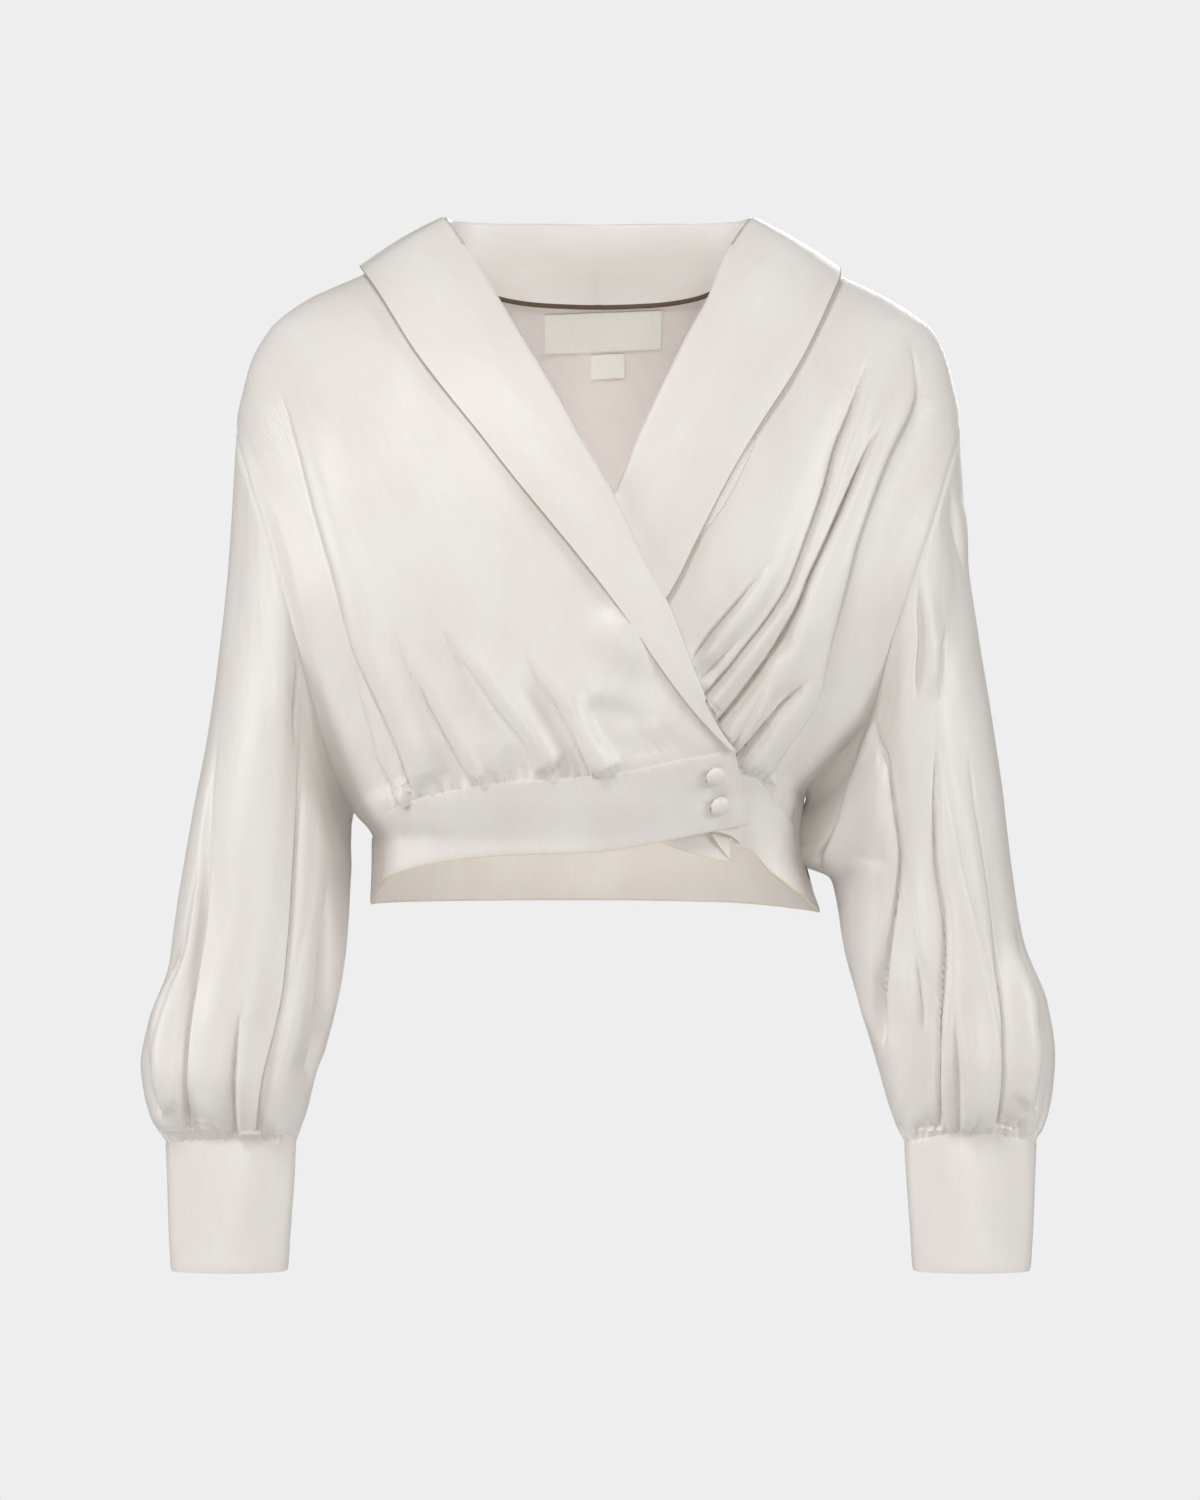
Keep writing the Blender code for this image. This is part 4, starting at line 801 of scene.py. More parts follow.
# %% Folds of the sleeves, front and back
SLEEVE_FOLDS = {
    "right": (
        Fold(-1, 1.4, 8, 1.6, 14, 0.6, 0.4, ((-199, -226), (-194, -266), (-197, -301), (-195, -332))),
        Fold(1, 2.6, 9, 2.6, 16, 0.35, 0.02, (
            (-190, -290), (-191, -346), (-193, -386), (-196, -437), (-200, -480), (-207, -511),
            (-214, -537), (-220, -572))),
        Fold(1, 2.0, 8, 4.0, 12, 0.5, 0.1, ((-176, -396), (-178, -456), (-180, -513), (-188, -545))),
        Fold(-1, 2.2, 14, 3.6, 18, 0.5, 0.05, (
            (-246, -296), (-256, -362), (-259, -432), (-266, -480), (-269, -502), (-271, -540),
            (-268, -575))),
        Fold(1, 3.0, 8, 3.6, 10, 0.4, 0.1, (
            (-262, -440), (-279, -473), (-290, -497), (-291, -516), (-288, -537), (-280, -561))),
        Fold(1, 2.4, 7, 3.0, 9, 0.6, 0.02, ((-229, -478), (-232, -509), (-234, -540), (-235, -574)))),
    "left": (
        Fold(1, 2.6, 9, 4.6, 26, 0.2, 0.1, (
            (178, -286), (169.5, -332), (161, -367), (154.6, -390), (152, -404))),
        Fold(-1, 1.0, 9, 0.6, 9, 0.35, 0.35, ((164, -389), (178, -394), (192, -396))),
        Fold(1, 1.2, 6, 1.6, 8, 0.4, 0.5, ((229, -150), (233, -170), (240, -208))),
        Fold(1, 1.4, 7, 1.8, 10, 0.4, 0.3, ((206, -206), (210, -249), (206, -296))),
        Fold(-1, 1.2, 7, 1.6, 9, 0.4, 0.4, ((224, -240), (222, -266), (220, -296))),
        Fold(-1, 2.4, 9, 3.4, 14, 0.3, 0.1, (
            (176, -284), (186, -334), (191, -371), (193, -389), (190, -419), (185, -451),
            (181, -488), (184, -520))),
        Fold(1, 2.4, 10, 3.2, 15, 0.4, 0.02, (
            (221, -280), (219, -352), (220, -399), (226, -428), (226, -463), (222, -500),
            (221, -538), (224, -572))),
        Fold(-1, 1.4, 6, 1.6, 8, 0.4, 0.3, ((204, -452), (206, -480), (209, -508))),
        Fold(-1, 2.6, 10, 3.4, 15, 0.4, 0.02, (
            (237, -316), (247, -376), (254, -419), (257, -458), (262, -500), (262, -538),
            (259, -570))),
        Fold(1, 2.0, 7, 2.6, 9, 0.6, 0.02, ((231, -480), (234, -526), (236, -572))),
        Fold(-1, 2.8, 8, 3.4, 10, 0.4, 0.1, (
            (271, -436), (281, -463), (288, -485), (288, -502), (291, -520), (284, -560))))}
# The far side has the last five folds again, softer and moved aside
BACK_FOLDS = {
    side: tuple(
        Fold(f.ridge, f.rise, f.wide * 1.1, f.step * 0.9, f.fade * 1.1, f.start, f.end,
             tuple((x + (9 if abs(x) < 240 else -8) * HAND[side], z - 12 * math.sin(x / 9))
                   for x, z in f.path))
        for f in SLEEVE_FOLDS[side][-5:])
    for side in SLEEVE_FOLDS}
PLEAT_SEEDS = {"right": (71, 73), "left": (79, 83)}


def long_pleats(side, seed, count, first, last):
    """Light lines that run down a sleeve between two turns round it"""
    draw = np.random.default_rng(seed)
    made = []
    for k in range(count):
        turn = first + (last - first) * (k + draw.uniform(-0.3, 0.3)) / (count - 1)
        run = np.linspace(draw.uniform(0.08, 0.5), draw.uniform(0.7, 0.99), 6)
        path = sleeve_point(side, run, turn + draw.uniform(-9, 9) * (run - 0.5))[:, (0, 2)]
        made.append(Fold(1 if draw.uniform() < 0.5 else -1, draw.uniform(0.4, 0.9),
                         draw.uniform(5, 9), draw.uniform(0.4, 1.1), 11, 0.4, 0.3,
                         tuple(map(tuple, path))))
    return tuple(made)


for side, seeds in PLEAT_SEEDS.items():
    SLEEVE_FOLDS[side] = SLEEVE_FOLDS[side] + long_pleats(side, seeds[0], 2, 50, 120)
    BACK_FOLDS[side] = BACK_FOLDS[side] + long_pleats(side, seeds[1], 8, 205, 335)
    print("sleeve", side, "folds", len(SLEEVE_FOLDS[side]), len(BACK_FOLDS[side]))

# %% Underarm and gathers of a sleeve
UNDERARM_DROOP = {"right": 1.0, "left": 18.0}
Gathered = namedtuple("Gathered", "count seed tallest")
CUFF_GATHERS = {"right": Gathered(34, 31, 0.16), "left": Gathered(36, 47, 0.24)}


def underarm(side, run, turns):
    """How far the cloth below the armhole hangs in towards the body"""
    beside = np.exp(-((turns - 180) / 42) ** 2)
    return UNDERARM_DROOP[side] * beside * np.exp(-((run - 0.18) / 0.125) ** 4)


def gathers_round(side, points, run):
    """Valleys between the gathers, narrow at the cuff and fading at their own heights"""
    count, seed, tallest = CUFF_GATHERS[side]
    draw = np.random.default_rng(seed)
    arc = lengths(points, 1)
    girth = arc[:, -1:] * (1 + 1 / points.shape[1])
    total = np.zeros(points.shape[:2])
    for k in range(count):
        at = (k + draw.uniform(-0.3, 0.3)) / count
        lean = draw.uniform(-0.03, 0.03)
        reach_up = draw.uniform(0.03, tallest)
        long = draw.uniform(0.04, 0.12) + (reach_up if draw.uniform() < 0.35 else 0)
        deep = draw.uniform(1.0, 2.4) + 5 * long
        up = np.clip((1 - run) / long, 0, 1)
        away = arc - (at + lean * up) % 1 * girth
        away = (away + girth / 2) % girth - girth / 2
        wide = 1.5 + 3.4 * up
        total -= deep * (1 - smooth(up)) * (0.6 + 0.4 * smooth(up * 5)) * np.exp(-(away / wide) ** 2)
    return total + 0.9 * smooth((run - 0.75) / 0.2)


print("gathers above the cuffs", [g.count for g in CUFF_GATHERS.values()])

# %% The two sleeves
SLEEVE_SHARE = 0.72
SLEEVE_COLUMNS = 330
SLEEVE_ROWS = 112
SLEEVE_RIPPLE = {"right": 7, "left": 9}
FRONT_COLUMNS = 20.0


def sleeve(side):
    """Columns stand closer on the front, and rows closer at the armhole and the cuff"""
    name = f"sleeve_{side}"
    share = np.arange(SLEEVE_COLUMNS) / SLEEVE_COLUMNS
    turn = 360 * share + FRONT_COLUMNS * (np.cos(math.tau * share) - 1)
    steps = np.linspace(0, 1, SLEEVE_ROWS)
    steps = steps - 0.055 * np.sin(math.tau * steps) - 0.06 * np.sin(math.pi * steps) ** 2
    run, turns = np.meshgrid(np.clip(steps, 0, 1) / steps[-1], turn, indexing="ij")
    placed = sleeve_point(side, run, turns)
    normal = sleeve_normal(side, run, turns)
    s = np.sin(np.radians(turns))
    facing = smooth((s + 0.05) / 0.4)
    behind = smooth((-s + 0.05) / 0.4)
    x, z = placed[..., 0], placed[..., 2]
    folds = fold_height(SLEEVE_FOLDS[side], x, z) * facing
    folds = folds + fold_height(BACK_FOLDS[side], x, z) * behind
    uneven = ripple(x, z, SLEEVE_RIPPLE[side], RIPPLE_HIGH)
    folds = SLEEVE_SHARE * folds + uneven * (facing - behind)
    folds = folds + gathers_round(side, placed, run)
    down = lengths(placed, 0)
    from_seam = smooth(down / 16)
    from_cuff = 0.6 + 0.4 * smooth((down[-1] - down) / 9)
    height = folds * from_seam * from_cuff - 0.5 * np.exp(-(down / 2.2) ** 2)
    outside = placed + normal * height[..., None]
    outside[-1, :, 2] = placed[-1, :, 2]
    outside = tucked(outside, normal, -1)
    outside[0] -= normal[0] * TUCK_DEPTH
    outside[0, :, 0] -= HAND[side] * SEAM_UNDER
    outside[..., 0] -= HAND[side] * underarm(side, run, turns)
    return sheet_of(name, outside, normal, PANEL_CLOTH, node=name, ring=True)


for side in ("right", "left"):
    pieces[f"sleeve_{side}"] = sleeve(side)

# %% [markdown]
# ## Cuffs and waistband
# Both are strips of satin folded double, so they are thicker and flatter than
# the panels, and their lower edge is a fold. The gathered cloth is caught
# between their two layers. The waistband has three parts. The right one laps
# over the left one. A thin tan strip of painted shade runs along the lower
# edge of each part, where the fold turns under.

# %% Cuffs
BAND_PROUD = 0.6
CUFF_COLUMNS = 240
CUFF_ROWS = 34
CUFF_PUCKERS = 26
CUFF_SEEDS = {"right": 61, "left": 67}


def soft_edges(points, deep=0.7, wide=1.6):
    """A folded edge rolls in towards the body"""
    down = lengths(points, 0)
    return -deep * (np.exp(-(down / wide) ** 2) + np.exp(-((down[-1:] - down) / wide) ** 2))


def cuff(side):
    c = CUFF[side]
    turn = np.arange(CUFF_COLUMNS) * math.tau / CUFF_COLUMNS
    down = np.linspace(0, 1, CUFF_ROWS)[:, None]
    middle = c.top_x + (c.hem_x - c.top_x) * down
    half = c.top_half + (c.hem_half - c.top_half) * down
    deep = c.deep_top + (c.deep_hem - c.deep_top) * down
    s = np.sin(turn)
    x = middle + HAND[side] * half * np.cos(turn)
    y = CUFF_MIDDLE - np.sign(s) * deep * np.abs(s) ** SLEEVE_FULLNESS
    top = c.top + c.front_rise * np.clip(s, 0, 1) ** 2
    z = np.broadcast_to(top * (1 - down) + c.hem * down, x.shape)
    placed = np.stack([x, y, z], -1)
    round_it = np.roll(placed, -1, 1) - np.roll(placed, 1, 1)
    wall = -HAND[side] * np.cross(np.array([0.0, 0.0, -1.0]), round_it)
    wall = unit(wall * np.array([1.0, 1.0, 0.0]))
    draw = np.random.default_rng(CUFF_SEEDS[side])
    height = BAND_PROUD + soft_edges(placed)
    for k in range(CUFF_PUCKERS):
        at = (k + draw.uniform(-0.3, 0.3)) / CUFF_PUCKERS * math.tau
        away = (turn - at + math.pi) % math.tau - math.pi
        size = draw.uniform(0.15, 0.5)
        fade = np.exp(-(down / draw.uniform(0.08, 0.2)) ** 2)
        height = height - size * np.exp(-(away / 0.07) ** 2) * fade
    height = height + 0.5 * np.sin(5 * turn + 2.2 * down + c.top_half) * np.sin(math.pi * down)
    outside = placed + wall * height[..., None]
    piece = sheet_of(f"cuff_{side}", outside, wall, DOUBLED_CLOTH, node=f"cuff_{side}", ring=True)
    return piece, outside, wall


cuffs = {}
for side in ("right", "left"):
    pieces[f"cuff_{side}"], points, wall = cuff(side)
    cuffs[side] = (points, wall)

# %% Waistband
Button = namedtuple("Button", "x z")
BUTTONS = {"button_upper": Button(74.4, -338), "button_lower": Button(77.2, -357)}
LOOP_START = 86.0
LOOP_RISE = 11.0
EDGE_SHARE = 0.02
BAND_NAME = {"back": "band_back", "left": "band_front_left", "right": "band_front_right"}
BAND_COLUMNS = {"back": 200, "left": 230, "right": 230}
BAND_ROWS = 25
BAND_PUCKERS = 34


def band(side):
    rows = BAND[side]
    face = "back" if side == "back" else "front"
    name = BAND_NAME[side]
    top_x = np.linspace(rows[0].x, rows[-1].x, BAND_COLUMNS[side])
    down = np.append(np.linspace(0, 1 - EDGE_SHARE, BAND_ROWS), 1)[:, None]
    x = top_x + (along(rows, "x", "hem_x", top_x) - top_x) * down
    hem = along(rows, "x", "hem", top_x)
    if side == "left":
        hem = hem + LOOP_RISE * smooth((LOOP_START - top_x) / 7)
    z = along(rows, "x", "top", top_x) * (1 - down) + hem * down
    x[:, 0] = np.sign(x[0, 0]) * side_x(x[:, 0], z[:, 0])
    if side == "back":
        x[:, -1] = side_x(x[:, -1], z[:, -1])
    lift = overlap(x, z) if side == "right" else no_overlap(x, z)
    placed = lifted(x, z, lift) if face == "front" else on_form(face, x, z)
    normal = form_normal(face, x, z)
    draw = np.random.default_rng(len(name))
    height = BAND_PROUD + soft_edges(placed)
    for k in range(BAND_PUCKERS):
        step = (k + draw.uniform(-0.3, 0.3)) / (BAND_PUCKERS - 1)
        middle = rows[0].x + (rows[-1].x - rows[0].x) * step
        long = draw.uniform(0.08, 0.3)
        height = height - draw.uniform(0.15, 0.5) * (
            np.exp(-((x - middle) / 2.4) ** 2) * np.exp(-(down / long) ** 2))
        low = middle + draw.uniform(-4, 4)
        height = height - draw.uniform(0.05, 0.25) * (
            np.exp(-((x - low) / 3.2) ** 2) * np.exp(-((1 - down) / long) ** 2))
    height = height + 0.35 * np.sin(x / 17 + 2 * down) * np.sin(math.pi * down)
    if side == "right":
        for spot in BUTTONS.values():
            pucker = np.exp(-((x - spot.x + 6) / 6) ** 2 - ((z - spot.z) / 2) ** 2)
            height = height - 0.8 * pucker + 0.6 * np.roll(pucker, 2, axis=0)
    outside = placed + normal * height[..., None]
    # The lower row gets painted shade where the fold turns under
    piece = sheet_of(name, outside, normal, DOUBLED_CLOTH, inside=SATIN, node=name, edge_shade="row")
    return piece, outside, normal


bands = {}
for side in ("back", "left", "right"):
    pieces[BAND_NAME[side]], points, wall = band(side)
    bands[side] = (points, wall)

# %% [markdown]
# ## Shawl collar
# The collar is one long doubled strip that is sewn to the neck edge, stands
# up, rolls over and lies on the shoulders and fronts. Its two halves meet in
# a seam at the centre back. Each cross-section runs from the seam up to the
# roll, bends there and falls to the free edge, with a little fullness. A thin
# strip of darker colour along that edge stands for the shade where it turns.

# %% Cross-sections of the collar
COLLAR_LIFT = 2.7
ROLL_LIFT = 1.0
COLLAR_BEND = 1.5
COLLAR_SWELL = 1.6
SHOULDER_CLEAR = 1.8
EDGE_START = 0.988
Station = namedtuple("Station", "seam wall face roll edge")


def share_of(rows, x, z):
    """Where along a table's base line a spot of the front view lies"""
    best = (1e9, 0.0)
    for i in range(len(rows) - 1):
        a = np.array(rows[i][:2], float)
        way = np.array(rows[i + 1][:2], float) - a
        t = float(np.clip(np.dot(np.array([x, z]) - a, way) / np.dot(way, way), 0, 1))
        away = float(np.linalg.norm(a + way * t - np.array([x, z])))
        if away < best[0] - 1e-9:
            best = (away, i + t)
    return best[1]


def station(face, rows, seam, wall):
    share = share_of(rows, seam[0], seam[2])
    read = [float(curve(np.arange(len(rows)), [row[k] for row in rows], share)) for k in range(2, 7)]
    return Station(seam, wall, face, np.array(read[:3]), read[3:])


def collar_stations(side, points, out):
    hand = HAND[side]
    lift = overlap if side == "right" else no_overlap

    def neck_row(r):
        return (hand * r.base_x, r.base_z, hand * r.roll_x, r.roll_y, r.roll_z, hand * r.edge_x, r.edge_z)

    shoulder = [r._replace(edge_x=e.x, edge_z=e.z) for r, e in zip(NECK[5:], SHOULDER_EDGE[side])]
    behind = [neck_row(r) for r in list(NECK[:5]) + shoulder[:1]]
    before = [neck_row(r) for r in shoulder]
    for r in LAPEL[side]:
        y = float(lifted(np.array(float(r.roll_x)), np.array(float(r.roll_z)),
                         lift(r.roll_x, float(r.roll_z)) + ROLL_LIFT)[1])
        before.append((r.roll_x + BASE_SHARE * (r.edge_x - r.roll_x),
                       r.roll_z + BASE_SHARE * (r.edge_z - r.roll_z),
                       r.roll_x, y, r.roll_z, r.edge_x, r.edge_z))
    neck = slice(SHOULDER_COLUMNS - 1, BACK_COLUMNS - SHOULDER_COLUMNS + 1)
    seam, wall = back_points[-1, neck], back_out[-1, neck]
    here = HAND[side] * seam[:, 0] >= -1e-6
    seam, wall = seam[here], wall[here]
    order = np.argsort(HAND[side] * seam[:, 0])
    stations = [station("back", behind, seam[i], wall[i]) for i in order]
    seam, wall = points[::-1, -1], out[::-1, -1]
    stations += [station("front", before, spot, away) for spot, away in zip(seam, wall)]
    return stations, lift


print("collar lies", COLLAR_LIFT, "mm off the form")

# %% The two halves of the collar
ROLL_ANGLES = (22, 45, 67, 90, 112, 135, 157)
STAND_POINTS = 7
FALL_POINTS = 25
COLLAR_SMOOTHING = 6


def collar(side, points, out):
    stations, lift = collar_stations(side, points, out)
    grid, first_wall = [], []
    for s in stations:
        ex, ez = np.array(s.edge[0]), np.array(s.edge[1])
        normal = form_normal(s.face, ex, ez)
        clear = COLLAR_LIFT + SHOULDER_CLEAR * smooth((ez + 65) / 40)
        laid = lifted(ex, ez, lift(ex, ez)) if s.face == "front" else on_form(s.face, ex, ez)
        edge = laid + normal * clear
        bend = min(COLLAR_BEND, 0.4 * np.linalg.norm(s.roll - s.seam))
        out_way = unit(s.wall + normal)
        stand = unit(s.roll - s.seam)
        start = s.seam - s.wall * 0.4
        tip = s.roll - stand * bend
        section = [start + (tip - start) * t for t in np.linspace(0, 1, STAND_POINTS)]
        for a in np.radians(ROLL_ANGLES):
            section.append(tip + stand * bend * math.sin(a) + out_way * bend * (1 - math.cos(a)))
        over = tip + out_way * bend * 2
        for k in np.append(np.linspace(0, EDGE_START, FALL_POINTS), 1):
            swell = COLLAR_SWELL * math.sin(math.pi * k) * min(1, np.linalg.norm(edge - over) / 40)
            section.append(over + (edge - over) * k + out_way * swell)
        grid.append(section)
        first_wall.append(s.wall)
    middle = np.array(grid)
    for _ in range(COLLAR_SMOOTHING):
        middle[1:-1] = (middle[:-2] + 2 * middle[1:-1] + middle[2:]) / 4
    wall = HAND[side] * unit(np.cross(np.gradient(middle, axis=0), np.gradient(middle, axis=1)))
    wall = wall * np.sign(np.median(np.sum(wall[:, 0] * np.array(first_wall), -1)))
    middle[0, :, 0] = 0
    wall[0, :, 0] = 0
    wall = unit(wall)
    name = f"collar_{side}"
    sunk = 0.5 * np.exp(-(lengths(middle, 0) / 2.2) ** 2)
    outside = middle + wall * (DOUBLED_CLOTH / 2 + sunk)[..., None]
    # The free edge's last column gets the painted shade colour
    return sheet_of(name, outside, wall, DOUBLED_CLOTH, inside=SATIN, node=name, edge_shade="column")


for side, points, out in (("right", right_points, right_out), ("left", left_points, left_out)):
    pieces[f"collar_{side}"] = collar(side, points, out)

# %% [markdown]
# ## Two small turns of the cloth
# Below the buttons the under band doubles back on itself, so its lower edge
# makes a small S that peeks out below the over band. A strip is made whose
# lower edge follows that S in the front view, and each point of the S has its
# own distance off the form. Where the left collar's edge lifts off the front,
# a narrow lens of its facing shows, with fine ridges along it.

# %% Loop of the under band
Bend = namedtuple("Bend", "x z off")
LOOP = (
    Bend(91, -382, 0.9), Bend(88.5, -380, 1.6), Bend(83.4, -376.8, 3.4), Bend(76.5, -374.9, 5.2),
    Bend(73.6, -376.2, 4.4), Bend(76, -381.2, 3.0), Bend(80, -386.6, 2.6), Bend(84.6, -392.4, 2.2),
    Bend(85.2, -393.8, 1.2), Bend(82, -393.9, 0.2), Bend(76, -392.8, -0.4), Bend(64, -389.6, -0.9),
    Bend(50, -385, -1.4), Bend(40, -381, -2.0))
LOOP_TOP = -366.0
LOOP_COLUMNS = 150
LOOP_ROWS = 16
LOOP_CLOTH = 0.8 * DOUBLED_CLOTH


def folded_strip(name, bends, top):
    fine = np.linspace(0, len(bends) - 1, 400)
    knots = np.arange(len(bends))
    path = [curve(knots, [getattr(b, key) for b in bends], fine) for key in Bend._fields]
    line = walk(np.stack(path, -1), np.linspace(0, 1, LOOP_COLUMNS))
    down = np.append(np.linspace(0, 0.96, LOOP_ROWS - 1), 1)[:, None]
    x = np.broadcast_to(line[:, 0], (LOOP_ROWS, LOOP_COLUMNS))
    z = top + (line[:, 1] - top) * down
    off = line[:, 2] * (0.25 + 0.75 * down)
    placed = lifted(x, z, off)
    along_it = np.gradient(placed, axis=1)
    wall = unit(np.cross(along_it, np.array([0.0, 0.0, 1.0])))
    # The S-shaped lower edge gets painted shade where the fold turns under
    return sheet_of(name, placed, wall, LOOP_CLOTH, inside=SATIN, edge_shade="row")


pieces["band_loop"] = folded_strip("band_loop", LOOP, LOOP_TOP)

# %% Facing of the left collar's lifted edge
FACING_TOP = -117.0
FACING_END = -186.0
FACING_WIDE = 5.4
FACING_COLUMNS = 90
FACING_ROWS = 14


def collar_facing(name):
    edge = [(r.edge_x, r.edge_z) for r in LAPEL["left"]]
    z_line = np.linspace(FACING_TOP, FACING_END, FACING_COLUMNS)
    xs = curve([z for _, z in edge][::-1], [x for x, _ in edge][::-1], z_line)
    share = np.linspace(0, 1, FACING_COLUMNS)
    out = np.linspace(-0.6, 1, FACING_ROWS)[:, None]
    wide = FACING_WIDE * np.sin(math.pi * share) ** 0.8
    x = xs + out * wide * 0.86
    z = z_line - out * wide * 0.5
    normal = form_normal("front", x, z)
    rise = 2.1 + 0.3 * np.cos(out * 13) - 0.9 * out
    outside = on_form("front", x, z) + normal * (rise + 0 * x)[..., None]
    return sheet_of(name, outside, normal, PANEL_CLOTH, inside=SATIN)


pieces["collar_facing"] = collar_facing("collar_facing")

# %% [markdown]
# ## Covered buttons
# Two low domes covered with the same satin close the band. Each starts as
# Blender's sphere. Its upper half is pressed into a dome and its lower half
# into a shallow rim, and faint waves round the widest line show where the
# cloth is drawn under. A turned profile would have no such waves.

# %% Buttons
BUTTON_WIDE = 13.0
BUTTON_TALL = 5.0
BUTTON_RIM = 1.1
BUTTON_WAVES = 11
WAVE_HIGH = 0.12
SHANK = 0.7


def button(name, x, z):
    bpy.ops.object.select_all(action="DESELECT")
    bpy.ops.mesh.primitive_uv_sphere_add(segments=56, ring_count=28, radius=1)
    piece = bpy.context.active_object
    piece.name = name
    mesh = piece.data
    mesh.name = name
    mesh.uv_layers[0].name = "cloth"
    ball = np.zeros(len(mesh.vertices) * 3, np.float32)
    mesh.vertices.foreach_get("co", ball)
    ball = ball.reshape(-1, 3).astype(float)
    place = np.zeros(len(mesh.loops), np.int32)
    mesh.loops.foreach_get("vertex_index", place)
    spot = ball[place][:, :2] * BUTTON_WIDE / 2 * MM
    mesh.uv_layers[0].data.foreach_set("uv", spot.astype(np.float32).ravel())
    x, z = np.array(float(x)), np.array(float(z))
    normal = form_normal("front", x, z)
    foot = lifted(x, z, overlap(x, z)) + normal * (BAND_PROUD + SHANK)
    across = unit(np.cross(np.array([0.0, 0.0, 1.0]), normal))
    up = np.cross(normal, across)
    around = np.arctan2(ball[:, 1], ball[:, 0])
    low = np.exp(-(ball[:, 2] / 0.3) ** 2)
    radius = BUTTON_WIDE / 2 + WAVE_HIGH * np.sin(BUTTON_WAVES * around) * low
    tall = np.where(ball[:, 2] > 0, BUTTON_TALL - BUTTON_RIM, BUTTON_RIM)
    placed = (foot + (radius * ball[:, 0])[:, None] * across + (radius * ball[:, 1])[:, None] * up
              + (BUTTON_RIM + tall * ball[:, 2])[:, None] * normal)
    mesh.vertices.foreach_set("co", (placed * MM).astype(np.float32).ravel())
    mesh.materials.append(COVERED)
    bpy.ops.object.shade_smooth()
    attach(piece, "root")
    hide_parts(name)
    print(name, "size mm", [round(c * 1000, 1) for c in piece.dimensions])
    return piece


for name, spot in BUTTONS.items():
    pieces[name] = button(name, *spot)

# %% [markdown]
# ## Painted shade at the back neck
# A fine line of shade runs along the inside of the back neck seam. It may be a
# binding or only shade. Here that shade is painted: a narrow strip of dark
# cloth, made from the seam's own points and moved inwards, so it follows the
# seam from every side.

# %% Painted shade strip at the back neck
NECK_SHADE_WIDE = 3.3
NECK_SHADE_END = 53
NECK_SHADE_CLOTH = 0.5


def neck_shade_strip(name):
    """A thin dark strip of painted shade along the inside of the back neck seam"""
    top = slice(NECK_SHADE_END, BACK_COLUMNS - NECK_SHADE_END)
    seam, wall = back_points[-1, top], back_out[-1, top]
    down = np.linspace(0, 1, 9)[:, None]
    points = seam[None] - wall[None] * (1.1 + 0.9 * np.sin(math.pi * down))[..., None]
    points[..., 2] += 0.5 - NECK_SHADE_WIDE * down
    out = np.broadcast_to(-wall[None], points.shape)
    return sheet_of(name, points, out, NECK_SHADE_CLOTH, face=NECK_SHADE)


pieces["neck_shade_strip"] = neck_shade_strip("neck_shade_strip")

# %% [markdown]
# ## Label and size tab
# The label is a plain woven ribbon below the back neck, with its size tab
# under it. Both are blank, thin sheets set just inside the back panel, and a
# slight bow keeps them from looking like stiff card.

# %% Label and size tab
Label = namedtuple("Label", "left right top bottom tilt")
LABELS = {"label_main": Label(-36, 43, -28, -53, 3), "label_size": Label(-5, 18, -54, -70, 1)}
LABEL_COLUMNS = 60
LABEL_ROWS = 24
LABEL_INSET = 1.9
LABEL_CLOTH = 0.6


def label(name, spec):
    share = np.linspace(0, 1, LABEL_COLUMNS)
    down = np.linspace(0, 1, LABEL_ROWS)[:, None]
    line = spec.left + (spec.right - spec.left) * share
    x = np.broadcast_to(line, (LABEL_ROWS, LABEL_COLUMNS))
    z = spec.top + (spec.bottom - spec.top) * down + spec.tilt * share
    normal = form_normal("back", x, z)
    bow = 0.35 * np.sin(math.pi * down) + 0.15 * np.sin(9 * share + 1)
    inward = on_form("back", x, z) - normal * (LABEL_INSET + bow)[..., None]
    return sheet_of(name, inward, -normal, LABEL_CLOTH, face=RIBBON, node=name)


for name, spec in LABELS.items():
    pieces[name] = label(name, spec)

# %% [markdown]
# ## Stitches
# Short even stitches run along the top and the free end of the band and round
# the top of each cuff. Each stitch is a small spindle of thread that lies on
# the cloth, so its light and shadow are real. A row is one mesh of many
# spindles of eight faces, which is lighter than hundreds of copied objects.
# The two buttonholes are the same spindles, set close round a slot, in a darker thread that is painted
# shade of the slot.

# %% Stitches
STITCH = 1.9
STITCH_PITCH = 3.0
THREAD_WIDE = 0.3
END_SUNK = 0.12
MIDDLE_SUNK = 0.2


def stitches(name, lines, long=STITCH, pitch=STITCH_PITCH, thick=THREAD_WIDE, thread=None):
    """A row of spindles along each line of points, given with the cloth's direction"""
    corners, faces = [], []
    for points, out in lines:
        run = lengths(points, 0)
        for start in np.arange(pitch / 2, run[-1] - long, pitch):
            a, m, b = (np.array([np.interp(start + d, run, points[:, k]) for k in range(3)])
                       for d in (0, long / 2, long))
            up = unit(np.array([np.interp(start, run, out[:, k]) for k in range(3)]))
            way = unit(b - a)
            side = np.cross(way, up)
            base = len(corners)
            corners += [a - up * END_SUNK, b - up * END_SUNK, m + up * thick, m + side * thick,
                        m - up * MIDDLE_SUNK, m - side * thick]
            for k in range(4):
                p, q = base + 2 + k, base + 2 + (k + 1) % 4
                faces += [(base, p, q), (base + 1, q, p)]
    mesh = bpy.data.meshes.new(name)
    mesh.from_pydata([tuple(c * MM) for c in corners], [], faces)
    mesh.uv_layers.new(name="cloth")
    piece = bpy.data.objects.new(name, mesh)
    bpy.context.scene.collection.objects.link(piece)
    only(piece)
    bpy.ops.object.mode_set(mode="EDIT")
    bpy.ops.mesh.select_all(action="SELECT")
    bpy.ops.mesh.normals_make_consistent(inside=False)
    bpy.ops.object.mode_set(mode="OBJECT")
    mesh.materials.append(thread or THREAD)
    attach(piece, "root")
    print(name, "stitches", len(corners) // 6)
    return piece


def row_line(surface, row):
    return surface[0][row], surface[1][row]


